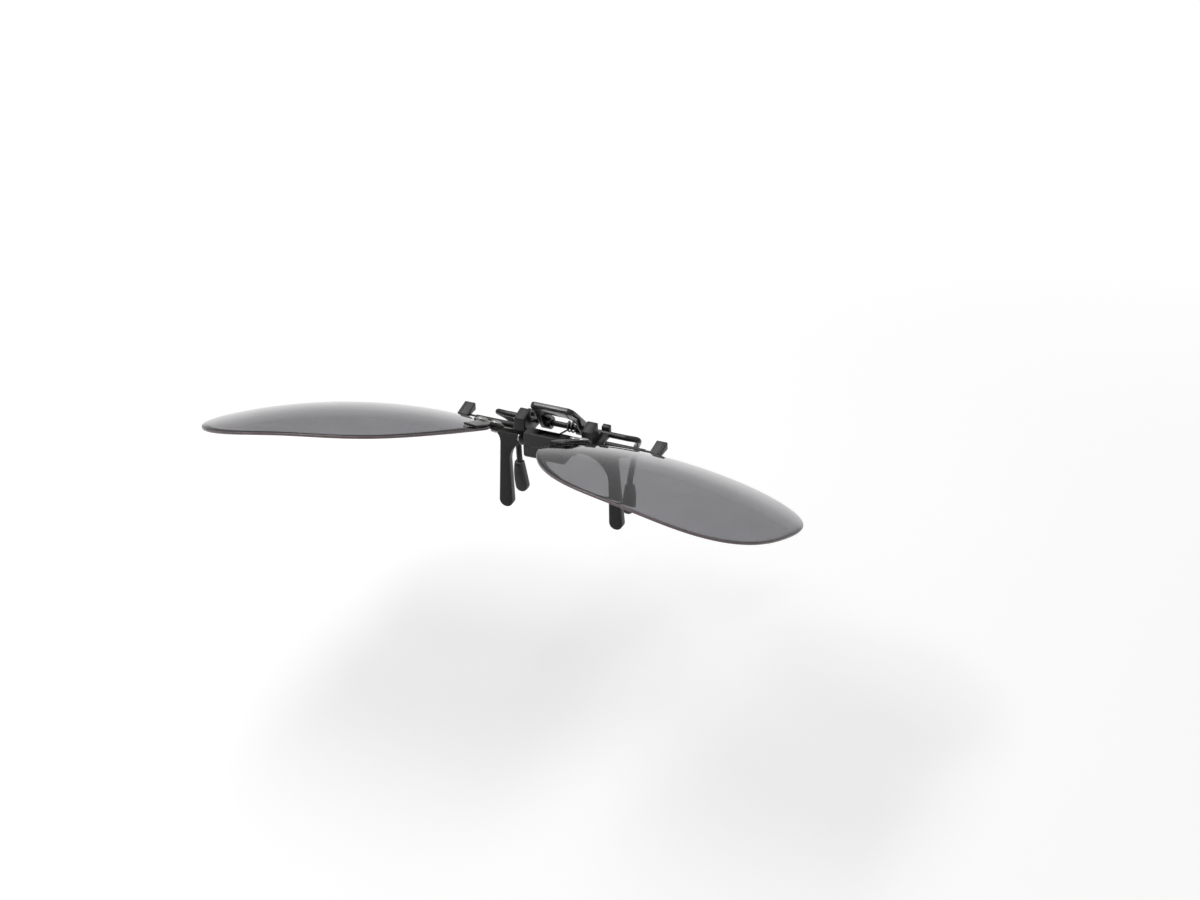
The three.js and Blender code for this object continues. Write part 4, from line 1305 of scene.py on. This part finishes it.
@dataclass
class LensPair(SharedSizes):
    """The two sun lenses with their brackets and rivets, drawn closed and then flipped up."""

    flip_angle: float = 111.3
    corner: Triple = (12.77, -3.85, -10.2)
    radius: float = 29.31
    oval: Point = (2.53, 0.38)
    droop: Point = (-0.79, -1.0)
    square: Point = (-1.1, 0.5)
    sphere: float = 125.0
    thick: float = 0.7
    wrap: float = 8.0
    nose_corner: float = 1.6
    nose_corner_at: float = 206.0
    nose_corner_span: float = 13.0
    rivet_at: float = 209.7
    rivet_inset: float = 1.68
    edge: float = 0.26
    rim_bend: float = 45.0
    rim_limit: float = 0.9
    outline_steps: int = 192
    rings: int = 16
    bracket_thick: float = 0.5
    bracket_edge: float = 0.1
    reach_in: float = 2.85
    reach_up: float = 1.9
    arm_thick: float = 1.0
    shank: float = 0.5
    head_radius: float = 1.3
    head: float = 0.4
    tail_radius: float = 0.9
    tail: float = 0.35
    tail_trims: float = 3.0

    def __post_init__(self) -> None:
        """Works out where the lens and its corner are."""
        angle = math.radians(self.rivet_at)
        reach = self.outline_radius(angle) - self.rivet_inset
        out = reach * math.cos(angle)
        up = -reach * math.sin(angle)
        pitch = -math.asin(up / self.sphere)
        yaw = math.asin(out / (self.sphere * math.cos(pitch)))
        wrap = Matrix.Rotation(math.radians(self.wrap), 4, "Z")
        turn = Matrix.Rotation(yaw, 4, "Z") @ Matrix.Rotation(pitch, 4, "X")
        middle = wrap @ turn @ Vector((0, self.sphere, 0)) + Vector(self.corner)
        flip = Matrix.Rotation(-math.radians(self.flip_angle), 4, "X")
        closed = Matrix.Translation(middle) @ wrap
        self.corner_turn = turn
        self.corner_closed = closed @ turn
        self.flip_place = Matrix.Translation(FLIP_AXIS) @ flip
        self.lens_place = self.flip_place @ closed
        self.corner_place = self.flip_place @ self.corner_closed
        self.arm_face = self.bracket_seat(self.sphere + self.fit_gap) + self.fit_gap

    def bracket_seat(self, sphere: float) -> float:
        """Where a sphere passes the bracket rivet, along the corner's own Y."""
        return -math.sqrt(sphere**2 - self.reach_in**2 - self.reach_up**2)

    def outline_radius(self, angle: float) -> float:
        """The lens outline's radius.

        Args:
            angle: from straight outwards, turning downwards.

        Returns:
            The radius there.
        """
        waves = sum(
            c * math.cos(count * angle) + s * math.sin(count * angle)
            for count, (c, s) in enumerate((self.oval, self.droop, self.square), start=2)
        )
        aside = (math.degrees(angle) % 360 - self.nose_corner_at) / self.nose_corner_span
        return self.radius + waves + self.nose_corner * math.exp(-aside * aside)

    def lens(self) -> BMesh:
        """The right lens: a disc drawn to the outline, laid on the sphere and made solid."""
        form = bmesh.new()
        bmesh.ops.create_circle(form, cap_ends=True, segments=self.outline_steps, radius=1)
        for _ in range(self.rings - 1):
            middle = max(form.faces, key=lambda face: len(face.verts))
            bmesh.ops.inset_individual(form, faces=[middle], thickness=1 / self.rings)
        bmesh.ops.poke(form, faces=[max(form.faces, key=lambda face: len(face.verts))])
        for vert in form.verts:
            angle = math.atan2(-vert.co.y, vert.co.x)
            reach = vert.co.length * self.outline_radius(angle)
            across, up = reach * math.cos(angle), -reach * math.sin(angle)
            vert.co = (across, -math.sqrt(self.sphere**2 - reach**2), up)
        back = bmesh.ops.extrude_face_region(form, geom=form.faces[:])["geom"]
        shrink = 1 - self.thick / self.sphere
        bmesh.ops.scale(form, vec=(shrink, shrink, shrink), verts=verts_of(back))
        bmesh.ops.recalc_face_normals(form, faces=form.faces[:])
        rims = [e for e in form.edges if e.calc_face_angle() > math.radians(self.rim_bend)]
        round_edges(form, rims, self.edge, FINE_STRIPS)
        ends = (-self.sphere - self.radius, self.radius - self.sphere)
        hole = self.shank + self.fit_gap
        drill = round_bar(hole, *ends, ORIGIN, PIN_SIDES, run=Run.ALONG_Y)
        form = combine(form, Join.CUT, moved(drill, self.corner_turn))
        for face in form.faces:
            outward = face.calc_center_median().normalized()
            face.material_index = int(abs(face.normal.dot(outward)) < self.rim_limit)
        return moved(form, self.lens_place)

    def bracket(self) -> BMesh:
        """The right bracket."""
        return softened("right_lens_bracket", self.bracket_edge)

    def rivet(self, front: float, back: float, aside: Point) -> BMesh:
        """A domed rivet through a stack.

        Args:
            front: the stack's front face, along the corner's own Y.
            back: its back face.
            aside: the rivet's place across the corner.

        Returns:
            The right rivet's shape.
        """
        seat, end = front - self.fit_gap, back + self.fit_gap + self.tail
        trim = self.tail / self.tail_trims
        profile = [
            *(
                (self.head_radius * math.sin(a), seat - self.head * math.cos(a))
                for a in (math.pi / 2 * step / DOME_STEPS for step in range(DOME_STEPS + 1))
            ),
            (self.shank, seat),
            (self.shank, back + self.fit_gap),
            (self.tail_radius, back + self.fit_gap),
            (self.tail_radius, end - trim),
            (self.tail_radius - trim, end),
            (0, end),
        ]
        place = self.corner_place @ Matrix.Translation((aside[0], 0, aside[1]))
        return moved(turned(profile, RIVET_SIDES), place)

    def lens_rivet(self) -> BMesh:
        """The rivet through the bracket and the lens."""
        front = -self.sphere - self.fit_gap - self.bracket_thick
        return self.rivet(front, self.thick - self.sphere, (0, 0))

    def bracket_rivet(self) -> BMesh:
        """The rivet through the bracket and the bridge's arm."""
        front = self.bracket_seat(self.sphere + self.fit_gap + self.bracket_thick)
        return self.rivet(front, self.arm_face + self.arm_thick, (-self.reach_in, self.reach_up))

    def dress(self, bench: Bench) -> None:
        """Builds and finishes the pieces."""
        carrier, steel = Body.CARRIER, Slot.BRIGHT_STEEL
        bench.pair(self.lens, "sun_lens", Slot.GREY_LENS, carrier, GREY_LENS, LENS_EDGE)
        bench.pair(self.bracket, "lens_bracket", Slot.BLACK_WIRE, carrier, BLACK_COAT)
        bench.pair(self.lens_rivet, "lens_rivet", steel, carrier, BRIGHT_STEEL)
        bench.pair(self.bracket_rivet, "bracket_rivet", steel, carrier, BRIGHT_STEEL)


@dataclass
class FlipHinge(SharedSizes):
    """The housing, the pin, the leaf under the barrel and the barrel with its arms."""

    lenses: LensPair = field(default_factory=LensPair)
    run_gap: float = 0.25
    barrel_radius: float = 2.1
    barrel_half: float = 5.0
    barrel_flat: float = 0.15
    hub_radius: float = 1.6
    hub_end: float = 6.95
    hub_edge: float = 0.2
    arm_half: float = 1.45
    arm_edge: float = 0.16
    hole_spare: float = 1.0
    wall: float = 0.75
    floor: float = 0.4
    rise: float = 3.2
    crest: float = 0.1
    rear: float = 0.4
    step: float = 0.3
    edge: float = 0.14
    window: Point = (-2.0, 3.4)
    window_front: float = 1.9
    window_back: float = 1.2
    leaf_half: float = 3.0
    leaf_span: float = 3.6
    leaf_room: float = 0.65
    pin_radius: float = 0.6
    head_radius: float = 1.0
    head: float = 0.45
    head_round: float = 0.18

    def housing(self) -> BMesh:
        """The housing with the barrel's trough, the leaf's pocket and the window in its top."""
        axis = FLIP_AXIS
        reach = self.barrel_radius + self.run_gap
        front, back = axis.y - reach - self.wall, -self.jaw_thick - self.fit_gap
        pocket = axis.z - self.barrel_radius - self.fit_gap - self.leaf_room
        bottom, top = pocket - self.floor, axis.z + self.rise
        ledge = front + self.step
        outline = Outline((front + self.wall, bottom), (back, bottom), (back, axis.z + self.rear))
        outline.line((axis.y + self.crest, top), (ledge, top), (ledge, axis.z))
        outline.line((front, axis.z), (front, bottom + self.wall))
        half, rounded = self.barrel_half, (self.edge, STRIPS, Rounding.ALL)
        leaf_x = self.leaf_half + self.fit_gap
        leaf_y = self.leaf_span / 2 + self.fit_gap
        window_y = (axis.y - self.window_front, axis.y + self.window_back)
        return combine(
            prism(outline, Run.ALONG_X, -half, half, *rounded),
            Join.CUT,
            round_bar(reach, -self.hub_end, self.hub_end, axis, BARREL_SIDES),
            box((-leaf_x, leaf_x), (axis.y - leaf_y, axis.y + leaf_y), (pocket, axis.z)),
            box(self.window, window_y, (axis.z, top + self.rise)),
        )

    def pin(self) -> BMesh:
        """The pin with its two heads."""
        low, high = (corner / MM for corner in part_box("flip_pin"))
        head, sides = self.head, PIN_SIDES
        ends = (low.x + head / 2, high.x - head / 2)
        heads = [
            round_bar(self.head_radius, a, b, FLIP_AXIS, sides, self.head_round)
            for a, b in ((low.x, low.x + head), (high.x - head, high.x))
        ]
        return combine(round_bar(self.pin_radius, *ends, FLIP_AXIS, sides), Join.ADD, *heads)

    def arm(self) -> BMesh:
        """The right flat arm from the barrel's hub to the bracket rivet, drawn closed."""
        lenses = self.lenses
        hub_root = self.barrel_half + self.run_gap
        half = (self.hub_end - hub_root) / 2
        root = lenses.corner_closed.inverted() @ Vector((hub_root + half, 0, 0))
        tip = Vector((-lenses.reach_in, 0, lenses.reach_up))
        run = math.degrees(math.atan2(root.z - tip.z, root.x - tip.x))
        outline = Outline().arc((tip.x, tip.z), self.arm_half, run + 90, run + 270)
        for x, z in ((half, -self.hub_radius), (half, 0), (-half, 0), (-half, -self.hub_radius)):
            outline.line((root.x + x, root.z + z))
        face, back = lenses.arm_face, lenses.arm_face + lenses.arm_thick
        ends = (face - self.hole_spare, back + self.hole_spare)
        hole = round_bar(lenses.shank + self.fit_gap, *ends, tip, PIN_SIDES, run=Run.ALONG_Y)
        form = combine(prism(outline, Run.ALONG_Y, face, back, self.arm_edge), Join.CUT, hole)
        return moved(form, lenses.corner_closed)

    def flat(self, turn: float) -> BMesh:
        """What a flat takes off the barrel, turned about its axis by some degrees."""
        radius, half = self.barrel_radius, self.leaf_half + self.run_gap
        form = box((-half, half), (-radius, radius), (-2 * radius, self.barrel_flat - radius))
        return moved(form, Matrix.Rotation(math.radians(turn), 4, "X"))

    def bridge(self) -> BMesh:
        """The barrel with its hubs, flats and two arms."""
        half, hub_end, edge = self.barrel_half, self.hub_end, self.hub_edge
        body = combine(
            round_bar(self.barrel_radius, -half, half, ORIGIN, BARREL_SIDES, edge),
            Join.ADD,
            round_bar(self.hub_radius, -hub_end, hub_end, ORIGIN, edge=edge),
            self.arm(),
            mirrored(self.arm()),
        )
        bore = round_bar(self.pin_radius + self.fit_gap, -2 * half, 2 * half, ORIGIN, PIN_SIDES)
        flats = [self.flat(turn) for turn in (0.0, self.lenses.flip_angle)]
        return moved(combine(body, Join.CUT, bore, *flats), self.lenses.flip_place)

    def dress(self, bench: Bench) -> None:
        """Builds and finishes the pieces."""
        carrier, black = Body.CARRIER, Slot.SATIN_BLACK
        bench.piece(self.housing(), "hinge_cradle", black, Body.CLIP, SATIN_BLACK)
        bench.piece(self.pin(), "flip_pin", Slot.BRIGHT_STEEL, carrier, BRIGHT_STEEL)
        bench.finish_solid("detent_spring", SPRING_STEEL)
        bench.piece(self.bridge(), "flip_bridge", black, carrier, BLACK_COAT)


# Studio


@dataclass(frozen=True)
class Lamp:
    """A soft oval lamp that faces the object, with its size, place and power in watts."""

    name: str
    size: Point
    at: Triple
    power: float

    def hang(self) -> None:
        """Puts the lamp in the scene."""
        data = bpy.data.lights.new(self.name, "AREA")
        data.shape = "ELLIPSE"
        data.size, data.size_y = (length * MM for length in self.size)
        data.energy = self.power
        lamp = bpy.data.objects.new(self.name, data)
        place = Vector(self.at)
        facing = place.to_track_quat("Z", "Y").to_matrix().to_4x4()
        lamp.matrix_world = Matrix.Translation(place * MM) @ facing
        lamp.visible_camera = False
        bpy.context.scene.collection.objects.link(lamp)


@dataclass
class Studio:
    """The photograph's camera, three soft lamps and a white surround with a pale floor.

    Lengths are in millimetres and angles in degrees.
    """

    azimuth: float = 26.04
    elevation: float = 30.65
    roll: float = -2.21
    distance: float = 956.4
    aim: Triple = (0.0, -2.0, -2.3)
    aside: Point = (9.855, -0.757)
    sensor: float = 36.0
    focal: float = 124.53
    near_clip: float = 10.0
    floor_drop: float = 54.0
    floor_size: float = 6000.0
    floor_tone: float = 0.82
    surround: float = 0.5
    horizon: float = 0.4
    zenith_from: float = 0.75
    near_glow: float = 0.32
    far_glow: float = 0.59
    glow_reach: Point = (140.0, 480.0)
    lamps: tuple[Lamp, ...] = (
        Lamp("top_strip", (900.0, 160.0), (-253.0, 0.0, 530.0), 1.55),
        Lamp("front_spot", (130.0, 100.0), (-245.0, -315.0, 515.0), 0.3),
        Lamp("side_fill", (300.0, 420.0), (-560.0, -420.0, 260.0), 0.2),
    )

    def camera(self) -> None:
        """Puts the camera where the photograph was taken from."""
        az, el, roll = (math.radians(a) for a in (self.azimuth, self.elevation, self.roll))
        flat = math.cos(el)
        ahead = Vector((-math.sin(az) * flat, math.cos(az) * flat, -math.sin(el)))
        level = Vector((math.cos(az), math.sin(az), 0))
        upright = level.cross(ahead)
        right = math.cos(roll) * level + math.sin(roll) * upright
        up = math.cos(roll) * upright - math.sin(roll) * level
        middle = Vector(self.aim) + right * self.aside[0] + up * self.aside[1]
        at = middle - ahead * self.distance
        data = bpy.data.cameras.new("photo_camera")
        data.lens = self.focal
        data.sensor_width = self.sensor
        data.clip_start = self.near_clip * MM
        camera = bpy.data.objects.new("photo_camera", data)
        axes = Matrix((right, up, -ahead)).transposed().to_4x4()
        camera.matrix_world = Matrix.Translation(at * MM) @ axes
        bpy.context.scene.collection.objects.link(camera)
        bpy.context.scene.camera = camera

    @staticmethod
    def rays(board: Board) -> tuple[NodeSocket, NodeSocket]:
        """Masks of the rays that see the background.

        Args:
            board: the board that reads them.

        Returns:
            A mask of the rays that see it straight or through glass, and one of those mirrored
            in gloss.
        """
        path = board.add("ShaderNodeLightPath").outputs
        through = {0: path["Is Camera Ray"], 1: path["Is Transmission Ray"]}
        bounced = {0: path["Is Glossy Ray"], 1: path["Is Reflection Ray"]}
        straight = board.add("ShaderNodeMath", through, operation="MAXIMUM")
        mirrored_in = board.add("ShaderNodeMath", bounced, operation="MULTIPLY")
        return straight.outputs["Value"], mirrored_in.outputs["Value"]

    @staticmethod
    def blend(
        board: Board, mask: NodeSocket, base: NodeSocket | float, over: NodeSocket | float
    ) -> NodeSocket:
        """A level that a mask changes from a base to another."""
        return board.add("ShaderNodeMix", {0: mask, 2: base, 3: over}, data_type="FLOAT").outputs[0]

    def world(self) -> None:
        """A white surround that lights softly and darkens towards the horizon in reflections."""
        world = bpy.data.worlds.new("white_surround")
        world.use_nodes = True
        board = Board(world.node_tree)
        view = board.add("ShaderNodeTexCoord").outputs["Generated"]
        height = board.add("ShaderNodeSeparateXYZ", {"Vector": view}).outputs["Z"]
        limits = {"Value": height, "From Max": self.zenith_from, "To Min": self.horizon}
        rise = board.add("ShaderNodeMapRange", limits, interpolation_type="SMOOTHSTEP")
        straight, mirrored_in = self.rays(board)
        plain = self.blend(board, straight, self.surround, 1.0)
        strength = self.blend(board, mirrored_in, plain, rise.outputs["Result"])
        board.feed(board.tree.nodes["Background"], {"Color": WHITE, "Strength": strength})
        bpy.context.scene.world = world

    def floor(self) -> None:
        """A pale floor that shows shadows, fades in reflections and is clear from below."""
        form = bmesh.new()
        bmesh.ops.create_grid(form, x_segments=1, y_segments=1, size=self.floor_size * MM / 2)
        bmesh.ops.translate(form, verts=form.verts[:], vec=(0, 0, -self.floor_drop * MM))
        floor = loose_object(form, "pale_floor")
        paint = Paint("pale_floor")
        board = paint.board
        board.tree.nodes.remove(paint.surface)
        tone = {"Color": (*[self.floor_tone] * 3, 1)}
        matte = board.add("ShaderNodeBsdfDiffuse", tone).outputs["BSDF"]
        away = board.add("ShaderNodeVectorMath", {0: paint.place}, operation="LENGTH")
        near, far = (reach * MM for reach in self.glow_reach)
        limits = {"Value": away.outputs["Value"], "From Min": near, "From Max": far}
        span = board.add("ShaderNodeMapRange", limits, interpolation_type="SMOOTHSTEP")
        distance = span.outputs["Result"]
        straight, mirrored_in = self.rays(board)
        white = self.blend(board, distance, self.near_glow, self.far_glow)
        fading = self.blend(board, distance, self.near_glow, 0.0)
        plain = self.blend(board, straight, 0.0, white)
        strength = {"Strength": self.blend(board, mirrored_in, plain, fading)}
        glow = board.add("ShaderNodeEmission", strength).outputs["Emission"]
        lit = board.add("ShaderNodeAddShader", {0: matte, 1: glow}).outputs["Shader"]
        below = board.add("ShaderNodeNewGeometry").outputs["Backfacing"]
        clear = board.add("ShaderNodeBsdfTransparent").outputs["BSDF"]
        pick = board.add("ShaderNodeMixShader", {0: below, 1: lit, 2: clear})
        board.feed(board.tree.nodes["Material Output"], {"Surface": pick.outputs["Shader"]})
        floor.data.materials.append(paint.material)

    def set_up(self) -> None:
        """Builds the studio."""
        bpy.context.scene.view_settings.view_transform = "Standard"
        self.camera()
        self.world()
        self.floor()
        for lamp in self.lamps:
            lamp.hang()


def main() -> None:
    """Builds the studio and the dressed sunglasses."""
    logging.basicConfig(level=logging.INFO, format="%(name)s: %(message)s")
    Studio().set_up()
    bench = Bench()
    lenses = LensPair()
    for assembly in (FrontClamp(), RearJaw(), lenses, FlipHinge(lenses=lenses)):
        assembly.dress(bench)


if __name__ == "__main__":
    main()
